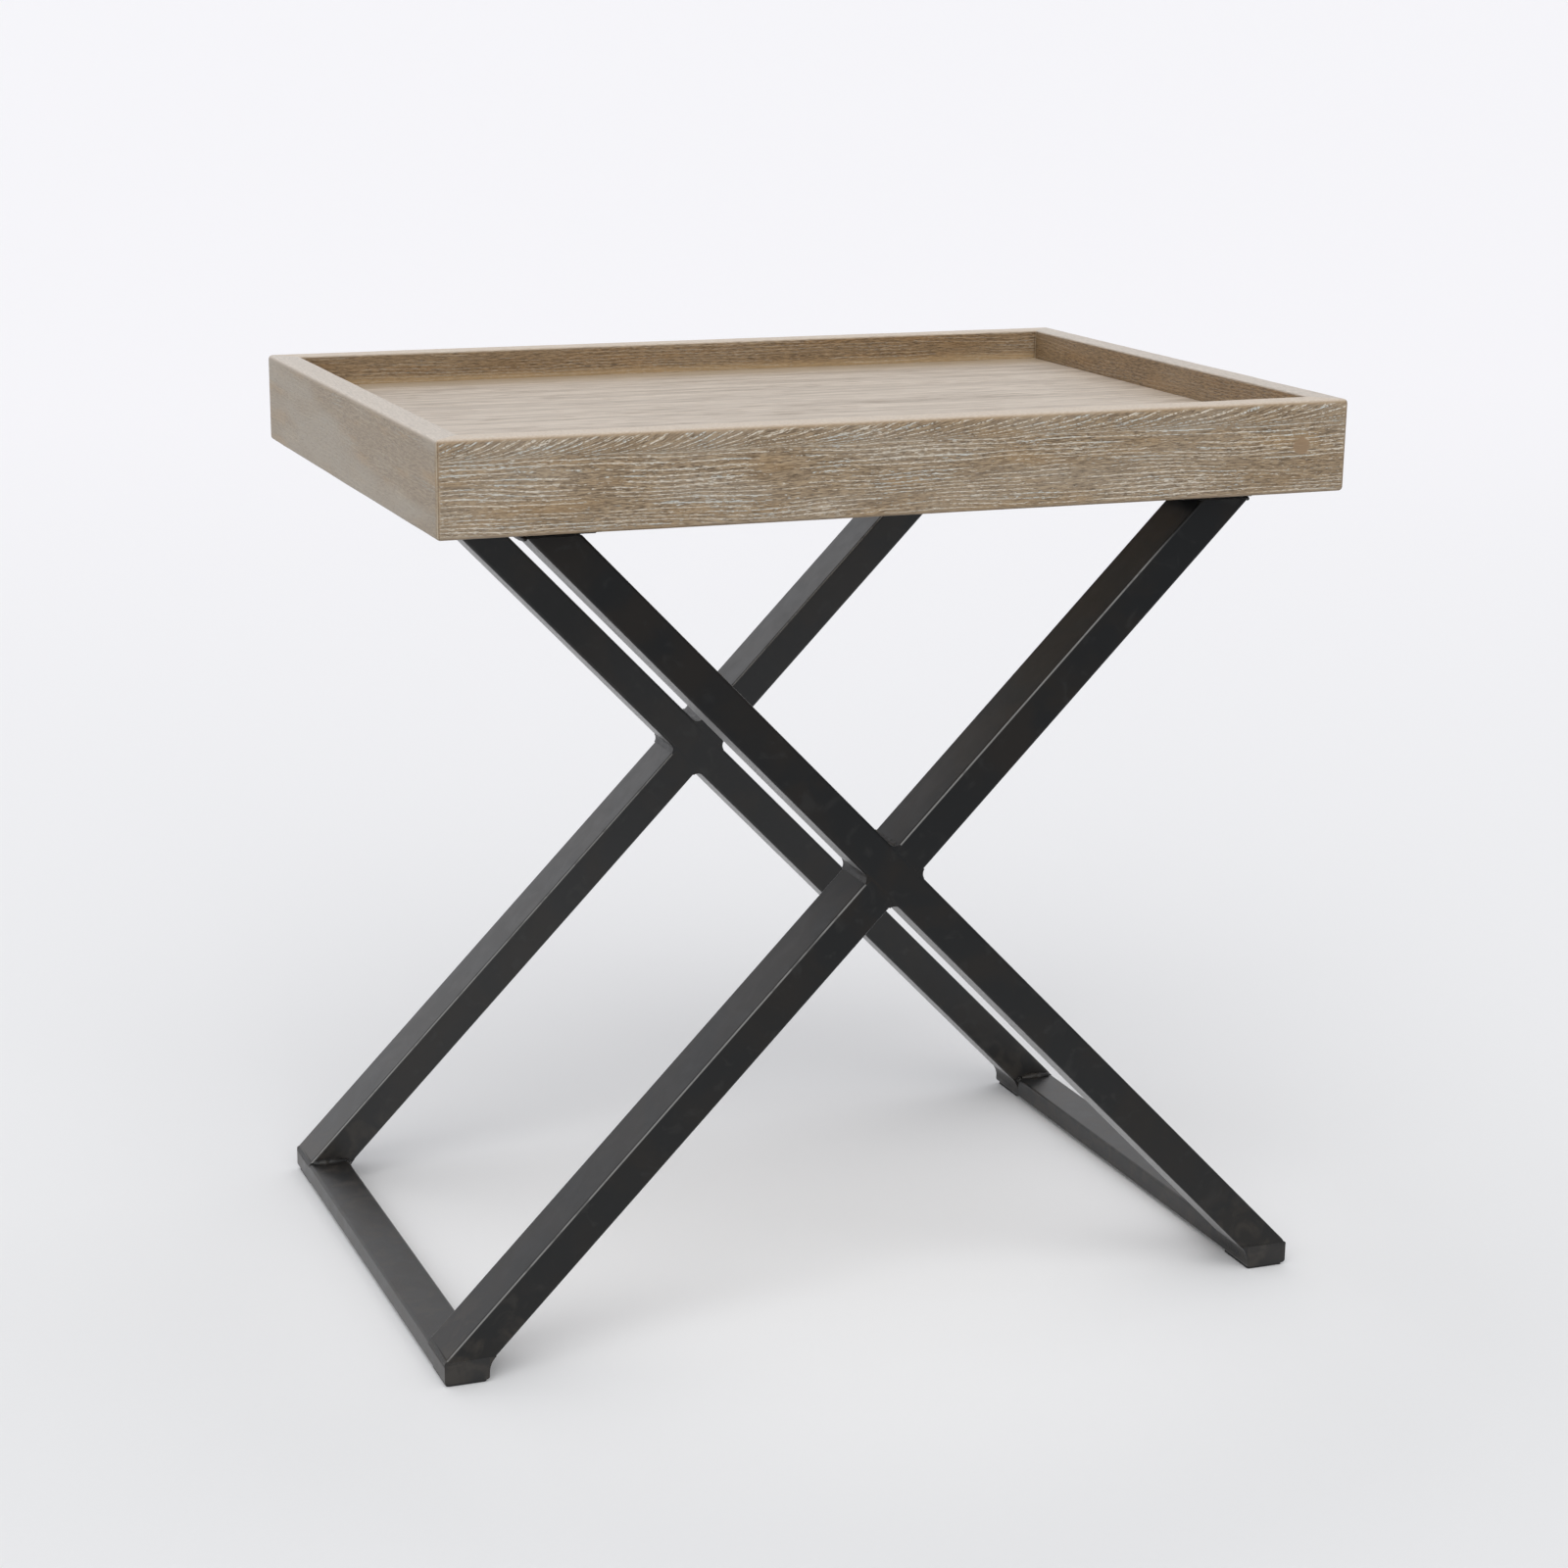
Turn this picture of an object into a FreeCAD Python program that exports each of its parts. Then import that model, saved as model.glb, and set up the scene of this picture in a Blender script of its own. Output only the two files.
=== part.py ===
"""Tray table: a shallow oak tray on a welded steel base with two X frames.

Millimetres, +Z up. X runs along the tray's long side, Y from front to back,
and the origin is on the floor below the middle of the tray.
"""
import FreeCAD
import Part
import math
import os
import Sketcher
from FreeCAD import Placement, Rotation, Vector

DRIVING_SIZES = {
    # the tray
    "tray_length": 610.0,
    "tray_depth": 442.0,
    "table_height": 608.0,
    "board_height": 60.0,
    "board_thick": 19.0,
    "outer_round": 3.0,
    "inner_round": 1.2,
    "well_drop": 21.0,
    "panel_thick": 9.0,
    "groove_bite": 6.0,
    "tongue_thick": 6.0,
    "panel_gap": 0.2,
    "batten_width": 50.0,
    "block_leg": 34.0,
    "block_height": 26.0,
    # the base
    "base_inset": 15.7,
    "leg_width": 25.0,
    "leg_depth": 40.0,
    "leg_angle": 45.69,
    "tube_wall": 1.5,
    "tube_round": 2.0,
    "rail_width": 30.0,
    "rail_height": 15.0,
    "cap_thick": 2.0,
    "pad_thick": 2.0,
    "pad_inset": 1.5,
    "pad_run": 34.0,
    "bar_width": 50.0,
    "bar_thick": 4.0,
    "bar_outer": 249.5,
    # the welds
    "crotch_round": 3.6,
    "bead_leg": 3.5,
    "cove_drop": 11.0,
    "ledge_weld": 4.0,
    # the screws that hold the tray down on the bars
    "screw_shank": 4.0,
    "screw_head": 8.0,
    "screw_reach": 22.0,
    "screw_spacing": 150.0,
    "pilot_gap": 0.05,
    "drive_width": 1.2,
    "drive_depth": 1.4,
}
SIDES = {"left": -1, "right": 1}
ENDS = {"front": -1, "rear": 1}

doc = FreeCAD.newDocument("TrayTable")
nodes = []


# ---------------------------------------------------------------- sizes

class Size:
    """A length with its number and the sheet formula that gives it."""

    def __init__(self, number, formula):
        self.number = number
        self.formula = formula

    @staticmethod
    def of(value):
        return value if isinstance(value, Size) else Size(float(value), "%.9g" % value)

    def joined(self, sign, other, number):
        return Size(number, "(%s %s %s)" % (self.formula, sign, other.formula))

    def __add__(self, other):
        other = Size.of(other)
        return self.joined("+", other, self.number + other.number)

    def __sub__(self, other):
        other = Size.of(other)
        return self.joined("-", other, self.number - other.number)

    def __mul__(self, other):
        other = Size.of(other)
        return self.joined("*", other, self.number * other.number)

    def __truediv__(self, other):
        other = Size.of(other)
        return self.joined("/", other, self.number / other.number)

    def __neg__(self):
        return Size(-self.number, "(0 - %s)" % self.formula)


def fill_sheet():
    """Write the driving sizes into the sheet and return one Size for each."""
    sheet = doc.addObject("Spreadsheet::Sheet", "Dimensions")
    sizes = {}
    for row, (alias, value) in enumerate(DRIVING_SIZES.items(), start=1):
        sheet.set("A%d" % row, alias)
        sheet.set("B%d" % row, "%g" % value)
        sheet.setAlias("B%d" % row, alias)
        sizes[alias] = Size(value, "Dimensions.%s" % alias)
    doc.recompute()
    return sizes


dim = fill_sheet()
sine = Size(math.sin(math.radians(dim["leg_angle"].number)), "sin(Dimensions.leg_angle)")
cosine = Size(math.cos(math.radians(dim["leg_angle"].number)), "cos(Dimensions.leg_angle)")

half_length = dim["tray_length"] / 2
half_depth = dim["tray_depth"] / 2
tray_floor = dim["table_height"] - dim["board_height"]
panel_top = dim["table_height"] - dim["well_drop"]
panel_under = panel_top - dim["panel_thick"]
base_half = half_depth - dim["base_inset"]
rail_top = dim["pad_thick"] + dim["rail_height"]
tongue_edge = dim["board_thick"] - dim["groove_bite"]
bar_under = tray_floor - dim["bar_thick"]
half_leg = dim["leg_width"] / 2
crossing_level = rail_top + (half_length * sine - half_leg) / cosine
bar_middle = dim["bar_outer"] - dim["bar_width"] / 2


def bind(thing, **sizes):
    """Tie properties of an object to the sheet."""
    for prop, value in sizes.items():
        thing.setExpression(prop, Size.of(value).formula)
    return thing


def finish(thing, label):
    """Give a finished sub-part its name and keep it for export."""
    thing.Label = label
    nodes.append(thing)
    return thing


# ---------------------------------------------------- Part workbench helpers

def put(thing, spot, turn=None):
    """Place an object, with its place tied to the sheet."""
    spot = [Size.of(value) for value in spot]
    thing.Placement = Placement(Vector(*[value.number for value in spot]), turn or Rotation())
    for axis, value in zip("xyz", spot):
        thing.setExpression("Placement.Base." + axis, value.formula)
    return thing


def box(name, size, corner):
    """A block with its lowest corner at corner."""
    block = doc.addObject("Part::Box", name)
    bind(block, Length=size[0], Width=size[1], Height=size[2])
    return put(block, corner)


def rounded(name, base, wanted, radius):
    """Round the edges of base for which wanted(edge) is true."""
    doc.recompute()
    feature = doc.addObject("Part::Fillet", name)
    feature.Base = base
    feature.Edges = [(number, radius.number, radius.number)
                     for number, edge in enumerate(base.Shape.Edges, start=1) if wanted(edge)]
    return feature


def boolean(kind, name, base, tool):
    """Part::Cut or Part::Common of two objects."""
    feature = doc.addObject(kind, name)
    feature.Base = base
    feature.Tool = tool
    return feature


def together(name, members):
    """One object that holds several separate solids."""
    group = doc.addObject("Part::Compound", name)
    group.Links = members
    return group


def spans(edge, axis):
    """How far an edge runs along one axis."""
    return {"x": edge.BoundBox.XLength, "y": edge.BoundBox.YLength, "z": edge.BoundBox.ZLength}[axis]


# ---------------------------------------------- PartDesign workbench helpers

def origin_plane(body, role):
    return [plane for plane in body.Origin.OriginFeatures if plane.Role == role][0]


def flat_sketch(body, name, role, lift=None):
    """A sketch on one of the body's origin planes, lifted along its normal."""
    sketch = body.newObject("Sketcher::SketchObject", name)
    sketch.AttachmentSupport = [(origin_plane(body, role), "")]
    sketch.MapMode = "FlatFace"
    if lift is not None:
        sketch.AttachmentOffset = Placement(Vector(0, 0, lift.number), Rotation())
        sketch.setExpression("AttachmentOffset.Base.z", lift.formula)
    return sketch


def outline(sketch, points, hollow_radius=None):
    """Close a loop through points, each held by its distances from the origin.

    With hollow_radius the last side is an arc that bends towards the first point.
    """
    count = len(points)
    spots = [Vector(across.number, up.number, 0) for across, up in points]
    first = sketch.GeometryCount
    for index in range(count):
        start, end = spots[index], spots[(index + 1) % count]
        if hollow_radius is not None and index == 1:
            sketch.addGeometry(hollow_arc(start, end, spots[0], hollow_radius.number))
        else:
            sketch.addGeometry(Part.LineSegment(start, end))
    hold_corners(sketch, points, first, hollow_radius)


def hollow_arc(start, end, corner, radius):
    """The arc from start to end whose middle lies on the corner's side of the chord."""
    chord = end - start
    middle = (start + end) * 0.5
    towards = corner - middle
    square = towards - chord * (towards.dot(chord) / chord.dot(chord))
    square.normalize()
    rise = math.sqrt(radius ** 2 - (chord.Length / 2) ** 2)
    return Part.Arc(start, middle + square * (radius - rise), end)


def arc_ends(sketch, index, start):
    """Which end number of an arc lies at start, and which at its other end."""
    near = sketch.getPoint(index, 1).distanceToPoint(start) < 1e-6
    return (1, 2) if near else (2, 1)


def hold_corners(sketch, points, first, hollow_radius):
    """Join the sides at their ends and tie every corner to the sheet."""
    count = len(points)
    ends = {index: (1, 2) for index in range(count)}
    if hollow_radius is not None:
        across, up = points[1]
        ends[1] = arc_ends(sketch, first + 1, Vector(across.number, up.number, 0))
        radius = sketch.addConstraint(Sketcher.Constraint("Radius", first + 1, hollow_radius.number))
        sketch.setExpression("Constraints[%d]" % radius, hollow_radius.formula)
    for index, (across, up) in enumerate(points):
        following = (index + 1) % count
        sketch.addConstraint(Sketcher.Constraint("Coincident", first + index, ends[index][1],
                                                 first + following, ends[following][0]))
        for kind, value in (("DistanceX", across), ("DistanceY", up)):
            held = sketch.addConstraint(Sketcher.Constraint(kind, -1, 1, first + index, ends[index][0],
                                                            value.number))
            sketch.setExpression("Constraints[%d]" % held, value.formula)


def pad(body, name, sketch, length):
    """Raise a sketch by length, half to each side of it."""
    feature = body.newObject("PartDesign::Pad", name)
    feature.Profile = sketch
    feature.Midplane = True
    return bind(feature, Length=length)


def pocket(body, name, sketch, length):
    """Cut a sketch out, half of length to each side of it."""
    feature = body.newObject("PartDesign::Pocket", name)
    feature.Profile = sketch
    feature.Midplane = True
    return bind(feature, Length=length)


def soften(body, name, base, wanted, radius):
    """Round the edges of the last feature for which wanted(edge) is true."""
    doc.recompute()
    feature = body.newObject("PartDesign::Fillet", name)
    feature.Base = (base, ["Edge%d" % number for number, edge in enumerate(base.Shape.Edges, start=1)
                           if wanted(edge)])
    return bind(feature, Radius=radius)


def prism(label, role, points, length, spot, hollow_radius=None):
    """A body with one outline raised evenly to both sides of an origin plane."""
    body = doc.addObject("PartDesign::Body", label)
    sketch = flat_sketch(body, label + "_outline", role)
    outline(sketch, points, hollow_radius)
    feature = pad(body, label + "_pad", sketch, length)
    put(body, spot)
    return body, feature


# ---------------------------------------------------------------- the tray

def tray_ring():
    """The four boards as one rounded ring, before it is cut at the mitres."""
    block = box("tray_block", (dim["tray_length"], dim["tray_depth"], dim["board_height"]),
                (-half_length, -half_depth, tray_floor))
    block = rounded("tray_block_round", block, lambda edge: True, dim["outer_round"])
    inside = box("tray_inside", (dim["tray_length"] - dim["board_thick"] * 2,
                                 dim["tray_depth"] - dim["board_thick"] * 2, dim["board_height"]),
                 (dim["board_thick"] - half_length, dim["board_thick"] - half_depth, tray_floor))
    ring = boolean("Part::Cut", "tray_ring", block, inside)
    inner_x = (half_length - dim["board_thick"]).number
    inner_y = (half_depth - dim["board_thick"]).number

    def on_inner_rim(edge):
        reach = edge.BoundBox
        level = reach.ZLength < 1e-6
        inside_x = max(abs(reach.XMin), abs(reach.XMax)) < inner_x + 1e-6
        inside_y = max(abs(reach.YMin), abs(reach.YMax)) < inner_y + 1e-6
        return level and inside_x and inside_y

    ring = rounded("tray_ring_round", ring, on_inner_rim, dim["inner_round"])
    return boolean("Part::Cut", "tray_ring_grooved", ring, panel_layer("tray_groove", tongue_edge,
                                                                       dim["tongue_thick"]))


def panel_layer(name, edge, thick):
    """A sheet that lies edge inside the tray's outer faces, on the level of the panel's underside."""
    return box(name, (dim["tray_length"] - edge * 2, dim["tray_depth"] - edge * 2, thick),
               (edge - half_length, edge - half_depth, panel_under))


def panel():
    """The tray's bottom: a field between the boards over a thinner tongue in their groove."""
    tongue = panel_layer("panel_tongue", tongue_edge, dim["tongue_thick"])
    field = panel_layer("panel_field", dim["board_thick"] + dim["panel_gap"], dim["panel_thick"])
    return finish(boolean("Part::Fuse", "tray_panel", field, tongue), "tray_panel")


def mitred_board(label, ring, run, turn):
    """One board of the ring, cut at 45 degrees at both ends; turn puts it on its side."""
    wedge = doc.addObject("Part::Wedge", label + "_cutter")
    half_run = run / 2
    other = (dim["tray_depth"] if run is dim["tray_length"] else dim["tray_length"]) / 2
    bind(wedge, Xmin=-half_run, Xmax=half_run, X2min=dim["board_thick"] - half_run,
         X2max=half_run - dim["board_thick"], Ymin=0, Ymax=dim["board_thick"],
         Zmin=0, Zmax=dim["board_height"], Z2min=0, Z2max=dim["board_height"])
    rotation = Rotation(Vector(0, 0, 1), turn)
    outward = rotation.multVec(Vector(0, -1, 0))
    put(wedge, (other * round(outward.x), other * round(outward.y), tray_floor), rotation)
    return finish(boolean("Part::Common", label, ring, wedge), label)


def make_tray():
    """Four mitred boards, the panel in their groove, corner blocks and battens."""
    ring = tray_ring()
    mitred_board("tray_board_front", ring, dim["tray_length"], 0)
    mitred_board("tray_board_right", ring, dim["tray_depth"], 90)
    mitred_board("tray_board_back", ring, dim["tray_length"], 180)
    mitred_board("tray_board_left", ring, dim["tray_depth"], 270)
    panel()
    for side, sign in SIDES.items():
        for end, way in ENDS.items():
            corner_block("corner_block_%s_%s" % (end, side), sign, way)
        batten("batten_" + side, sign)


def corner_block(label, sign, way):
    """A triangular glue block in the corner below the panel."""
    corner_x = (half_length - dim["board_thick"]) * sign
    corner_y = (half_depth - dim["board_thick"]) * way
    points = [(corner_x, corner_y),
              (corner_x - dim["block_leg"] * sign, corner_y),
              (corner_x, corner_y - dim["block_leg"] * way)]
    body, _ = prism(label, "XY_Plane", points, dim["block_height"],
                    (0, 0, panel_under - dim["block_height"] / 2))
    return finish(body, label)


def screw_rows():
    """The places of the screws along Y."""
    return [dim["screw_spacing"] * step for step in (-1, 0, 1)]


def batten(label, sign):
    """A batten from board to board under the panel, which takes the bar's screws."""
    block = box(label + "_block", (dim["batten_width"], dim["tray_depth"] - dim["board_thick"] * 2,
                                   panel_under - tray_floor),
                (bar_middle * sign - dim["batten_width"] / 2, dim["board_thick"] - half_depth, tray_floor))
    pilots = []
    for number, along in enumerate(screw_rows()):
        pilot = doc.addObject("Part::Cylinder", "%s_pilot_%d" % (label, number))
        bind(pilot, Radius=dim["screw_shank"] / 2 + dim["pilot_gap"],
             Height=dim["screw_reach"] - dim["bar_thick"] + dim["pilot_gap"])
        pilots.append(put(pilot, (bar_middle * sign, along, tray_floor)))
    return finish(boolean("Part::Cut", label, block, together(label + "_pilots", pilots)), label)


# ---------------------------------------------------------------- the base

def leg_x(side, level):
    """Where one face of the leg that falls to the right crosses a level.

    side is 1 for its upper right face and -1 for its lower left face.
    """
    return (half_leg * side - cosine * (level - crossing_level)) / sine


def long_leg_points():
    """The whole leg, from the left bar down to the right floor rail."""
    return [(leg_x(-1, bar_under), bar_under), (leg_x(1, bar_under), bar_under),
            (leg_x(1, rail_top), rail_top), (leg_x(-1, rail_top), rail_top)]


def short_leg_points(level, way):
    """The half leg that rises to the right, above (way 1) or below (way -1) the long leg."""
    return [(Size.of(0), crossing_level + half_leg / cosine * way), (half_leg / sine * way, crossing_level),
            (-leg_x(-way, level), level), (-leg_x(way, level), level)]


def inner_points(points, way):
    """The bore of a leg tube: its outline moved in by the wall on both long faces."""
    inset = dim["tube_wall"] / sine * way
    (first_x, first_z), (second_x, second_z), (third_x, third_z), (fourth_x, fourth_z) = points
    return [(first_x + inset, first_z), (second_x - inset, second_z),
            (third_x - inset, third_z), (fourth_x + inset, fourth_z)]


def short_inner_points(level, way):
    """The bore of a half leg, which ends on the long leg's face."""
    wall = dim["tube_wall"]
    near, far = half_leg * 2 - wall, wall
    points = []
    for reach in (near, far):
        rise = reach / (cosine * 2)
        points.append(((half_leg - cosine * rise) / sine * way, crossing_level + rise * way))
    inset = wall / sine * way
    return points + [(-leg_x(-way, level) - inset, level), (-leg_x(way, level) + inset, level)]


def leg(label, points, bore, way):
    """A rectangular tube with rounded long edges, standing in one X frame."""
    body, solid = prism(label, "XZ_Plane", points, dim["leg_depth"],
                        (0, (base_half - dim["leg_depth"] / 2) * way, 0))
    long_run = (crossing_level / 2).number
    solid = soften(body, label + "_round", solid,
                   lambda edge: edge.Length > long_run and spans(edge, "y") < 1e-6, dim["tube_round"])
    sketch = flat_sketch(body, label + "_bore", "XZ_Plane")
    outline(sketch, bore)
    pocket(body, label + "_hollow", sketch, dim["leg_depth"] - dim["tube_wall"] * 2)
    return finish(body, label)


def floor_rail(label, sign):
    """A rectangular tube along Y between its two end caps."""
    outer_x = half_length * sign
    inner_x = (half_length - dim["rail_width"]) * sign
    run = (base_half - dim["cap_thick"]) * 2
    body, solid = prism(label, "XZ_Plane", [(outer_x, dim["pad_thick"]), (inner_x, dim["pad_thick"]),
                                            (inner_x, rail_top), (outer_x, rail_top)], run, (0, 0, 0))
    solid = soften(body, label + "_round", solid, lambda edge: spans(edge, "y") > 1, dim["tube_round"])
    wall = dim["tube_wall"]
    sketch = flat_sketch(body, label + "_bore", "XZ_Plane")
    outline(sketch, [(outer_x - wall * sign, dim["pad_thick"] + wall),
                     (inner_x + wall * sign, dim["pad_thick"] + wall),
                     (inner_x + wall * sign, rail_top - wall), (outer_x - wall * sign, rail_top - wall)])
    pocket(body, label + "_hollow", sketch, run)
    return finish(body, label)


def rail_cap(label, sign, way):
    """The plate that closes one end of a floor rail, flush with its faces."""
    outer_x = half_length * sign
    inner_x = (half_length - dim["rail_width"]) * sign
    body, solid = prism(label, "XZ_Plane", [(outer_x, dim["pad_thick"]), (inner_x, dim["pad_thick"]),
                                            (inner_x, rail_top), (outer_x, rail_top)], dim["cap_thick"],
                        (0, (base_half - dim["cap_thick"] / 2) * way, 0))
    soften(body, label + "_round", solid, lambda edge: spans(edge, "y") > 1, dim["tube_round"])
    return finish(body, label)


def floor_pad(label, sign, way):
    """A thin pad under one end of a floor rail."""
    half_pad = dim["rail_width"] / 2 - dim["pad_inset"]
    middle = (half_length - dim["rail_width"] / 2) * sign
    body, solid = prism(label, "XY_Plane", [(-half_pad, -dim["pad_run"] / 2), (half_pad, -dim["pad_run"] / 2),
                                            (half_pad, dim["pad_run"] / 2), (-half_pad, dim["pad_run"] / 2)],
                        dim["pad_thick"], (middle, (base_half - dim["pad_inset"] - dim["pad_run"] / 2) * way,
                                           dim["pad_thick"] / 2))
    soften(body, label + "_round", solid, lambda edge: spans(edge, "z") > 1, dim["tube_round"])
    return finish(body, label)


def top_bar(label, sign):
    """A flat bar along Y over the leg tops, with countersunk holes for its screws."""
    bar = box(label + "_flat", (dim["bar_width"], base_half * 2, dim["bar_thick"]),
              (bar_middle * sign - dim["bar_width"] / 2, -base_half, bar_under))
    low = bar_under.number + 1e-6
    bar = rounded(label + "_round", bar,
                  lambda edge: spans(edge, "y") > 1 and edge.BoundBox.ZMax < low, dim["tube_round"])
    holes = []
    for number, along in enumerate(screw_rows()):
        hole = doc.addObject("Part::Cylinder", "%s_hole_%d" % (label, number))
        bind(hole, Radius=dim["screw_shank"] / 2 + dim["pilot_gap"], Height=dim["bar_thick"])
        sink = doc.addObject("Part::Cone", "%s_sink_%d" % (label, number))
        bind(sink, Radius1=dim["screw_head"] / 2 + dim["pilot_gap"],
             Radius2=dim["screw_shank"] / 2 + dim["pilot_gap"],
             Height=(dim["screw_head"] - dim["screw_shank"]) / 2)
        spot = (bar_middle * sign, along, bar_under)
        holes.append(boolean("Part::Fuse", "%s_bored_%d" % (label, number), put(hole, spot), put(sink, spot)))
    return finish(boolean("Part::Cut", label, bar, together(label + "_holes", holes)), label)


def bar_screws():
    """Six flat-head wood screws, up through the bars into the battens."""
    screws = []
    for side, sign in SIDES.items():
        for number, along in enumerate(screw_rows()):
            name = "screw_%s_%d" % (side, number)
            spot = (bar_middle * sign, along, bar_under)
            shank = doc.addObject("Part::Cylinder", name + "_shank")
            bind(shank, Radius=dim["screw_shank"] / 2, Height=dim["screw_reach"])
            head = doc.addObject("Part::Cone", name + "_head")
            bind(head, Radius1=dim["screw_head"] / 2, Radius2=dim["screw_shank"] / 2,
                 Height=(dim["screw_head"] - dim["screw_shank"]) / 2)
            screw = boolean("Part::Fuse", name + "_blank", put(shank, spot), put(head, spot))
            slots = together(name + "_slots", [drive_slot(name, spot, swap) for swap in (False, True)])
            screws.append(boolean("Part::Cut", name, screw, slots))
    return finish(together("bar_screws", screws), "bar_screws")


def drive_slot(name, spot, swap):
    """One of the two crossed slots in a screw's head."""
    arm, thin = dim["screw_head"] * 0.55, dim["drive_width"]
    across, along = (thin, arm) if swap else (arm, thin)
    return box("%s_slot_%d" % (name, swap), (across, along, dim["drive_depth"]),
               (spot[0] - across / 2, spot[1] - along / 2, spot[2]))


# ---------------------------------------------------------------- the welds

def crossing_welds(end, way):
    """Four hollow fillets in the corners where the legs cross."""
    run = dim["crotch_round"]
    welds = []
    corners = {"upper": (Size.of(0), crossing_level + half_leg / cosine, 0, 1),
               "lower": (Size.of(0), crossing_level - half_leg / cosine, 0, -1),
               "right": (half_leg / sine, crossing_level, 1, 0),
               "left": (-half_leg / sine, crossing_level, -1, 0)}
    for spot, (across, up, out_x, out_z) in corners.items():
        if out_z:
            first, second = ((across + cosine * run, up + sine * run * out_z),
                             (across - cosine * run, up + sine * run * out_z))
        else:
            first, second = ((across + cosine * run * out_x, up + sine * run),
                             (across + cosine * run * out_x, up - sine * run))
        body, _ = prism("crossing_weld_%s_%s" % (spot, end), "XZ_Plane", [(across, up), first, second],
                        dim["leg_depth"] - dim["tube_round"],
                        (0, (base_half - dim["leg_depth"] / 2) * way, 0), run * 1.1)
        welds.append(body)
    label = "crossing_welds_" + end
    return finish(together(label, welds), label)


def foot_welds(side, sign):
    """At each foot, a bead across the rail behind the leg and a cove under its overhang."""
    welds = []
    face_x = -leg_x(-1, rail_top) if sign < 0 else leg_x(-1, rail_top)
    rail_inner = (half_length - dim["rail_width"]) * sign
    for end, way in ENDS.items():
        bead_y = (base_half - dim["leg_depth"]) * way
        leg_size = dim["bead_leg"]
        body, _ = prism("foot_bead_%s_%s" % (side, end), "YZ_Plane",
                        [(bead_y, rail_top), (bead_y - leg_size * way, rail_top),
                         (bead_y, rail_top + leg_size)],
                        dim["rail_width"] - dim["tube_round"] * 2,
                        ((half_length - dim["rail_width"] / 2) * sign, 0, 0))
        welds.append(body)
        body, _ = prism("foot_cove_%s_%s" % (side, end), "XZ_Plane",
                        [(rail_inner, rail_top), (rail_inner, rail_top - dim["cove_drop"]),
                         (face_x, rail_top)],
                        dim["leg_depth"] - dim["tube_round"] * 2,
                        (0, (base_half - dim["leg_depth"] / 2) * way, 0), dim["cove_drop"] * 1.4)
        welds.append(body)
    label = "foot_welds_" + side
    return finish(together(label, welds), label)


def bar_welds(side, sign):
    """At each leg top, a fillet under the bar's outer ledge and a bead behind the leg."""
    welds = []
    face_x = leg_x(-1, bar_under) * -sign
    leg_top_middle = cosine / sine * (bar_under - crossing_level)
    size = dim["ledge_weld"]
    for end, way in ENDS.items():
        body, _ = prism("bar_ledge_weld_%s_%s" % (side, end), "XZ_Plane",
                        [(face_x, bar_under), (face_x + size * sign, bar_under),
                         (face_x - cosine * size * sign, bar_under - sine * size)],
                        dim["leg_depth"] - dim["tube_round"] * 2,
                        (0, (base_half - dim["leg_depth"] / 2) * way, 0), size * 1.6)
        welds.append(body)
        bead_y = (base_half - dim["leg_depth"]) * way
        body, _ = prism("bar_bead_%s_%s" % (side, end), "YZ_Plane",
                        [(bead_y, bar_under), (bead_y - dim["bead_leg"] * way, bar_under),
                         (bead_y, bar_under - dim["bead_leg"])],
                        dim["leg_width"] / sine - dim["tube_round"] * 2, (leg_top_middle * sign, 0, 0))
        welds.append(body)
    label = "bar_welds_" + side
    return finish(together(label, welds), label)


def make_base():
    """Two X frames, two floor rails with caps and pads, two bars, screws and welds."""
    for end, way in ENDS.items():
        points = long_leg_points()
        leg("long_leg_" + end, points, inner_points(points, 1), way)
        leg("upper_leg_" + end, short_leg_points(bar_under, 1), short_inner_points(bar_under, 1), way)
        leg("lower_leg_" + end, short_leg_points(rail_top, -1), short_inner_points(rail_top, -1), way)
        crossing_welds(end, way)
    for side, sign in SIDES.items():
        floor_rail("floor_rail_" + side, sign)
        top_bar("top_bar_" + side, sign)
        foot_welds(side, sign)
        bar_welds(side, sign)
        for end, way in ENDS.items():
            rail_cap("rail_cap_%s_%s" % (end, side), sign, way)
            floor_pad("floor_pad_%s_%s" % (end, side), sign, way)
    bar_screws()


# ---------------------------------------------------------------- output

def check_and_export():
    """Stop on any failed object, then write one STEP file for each sub-part."""
    doc.recompute()
    for thing in doc.Objects:
        if "Invalid" in thing.State or "Error" in thing.State:
            raise RuntimeError("%s failed: %s" % (thing.Label, thing.State))
    for node in nodes:
        if node.Shape.isNull() or not node.Shape.isValid() or not node.Shape.Solids:
            raise RuntimeError("%s has no sound shape" % node.Label)
    os.makedirs("parts", exist_ok=True)
    for node in nodes:
        node.Shape.exportStep("parts/%s.step" % node.Label)
        reach = node.Shape.BoundBox
        print("%-26s %d solids, %9.0f mm3, x %.1f %.1f y %.1f %.1f z %.1f %.1f" % (
            node.Label, len(node.Shape.Solids), node.Shape.Volume, reach.XMin, reach.XMax,
            reach.YMin, reach.YMax, reach.ZMin, reach.ZMax))
    print(len(nodes), "sub-parts")


make_tray()
make_base()
check_and_export()
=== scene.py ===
"""Looks of a tray side table: a limed oak tray on a welded base of blackened steel tube.

Metres, +Z up, X along the tray's long side, Y from front to back. Shader sums are in millimetres.
"""
import logging
import math
import random
from collections.abc import Callable, Iterator, Mapping, Sequence
from contextlib import contextmanager
from dataclasses import dataclass, field
from enum import Enum

import bmesh
import bpy
from mathutils import Matrix, Vector


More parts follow.
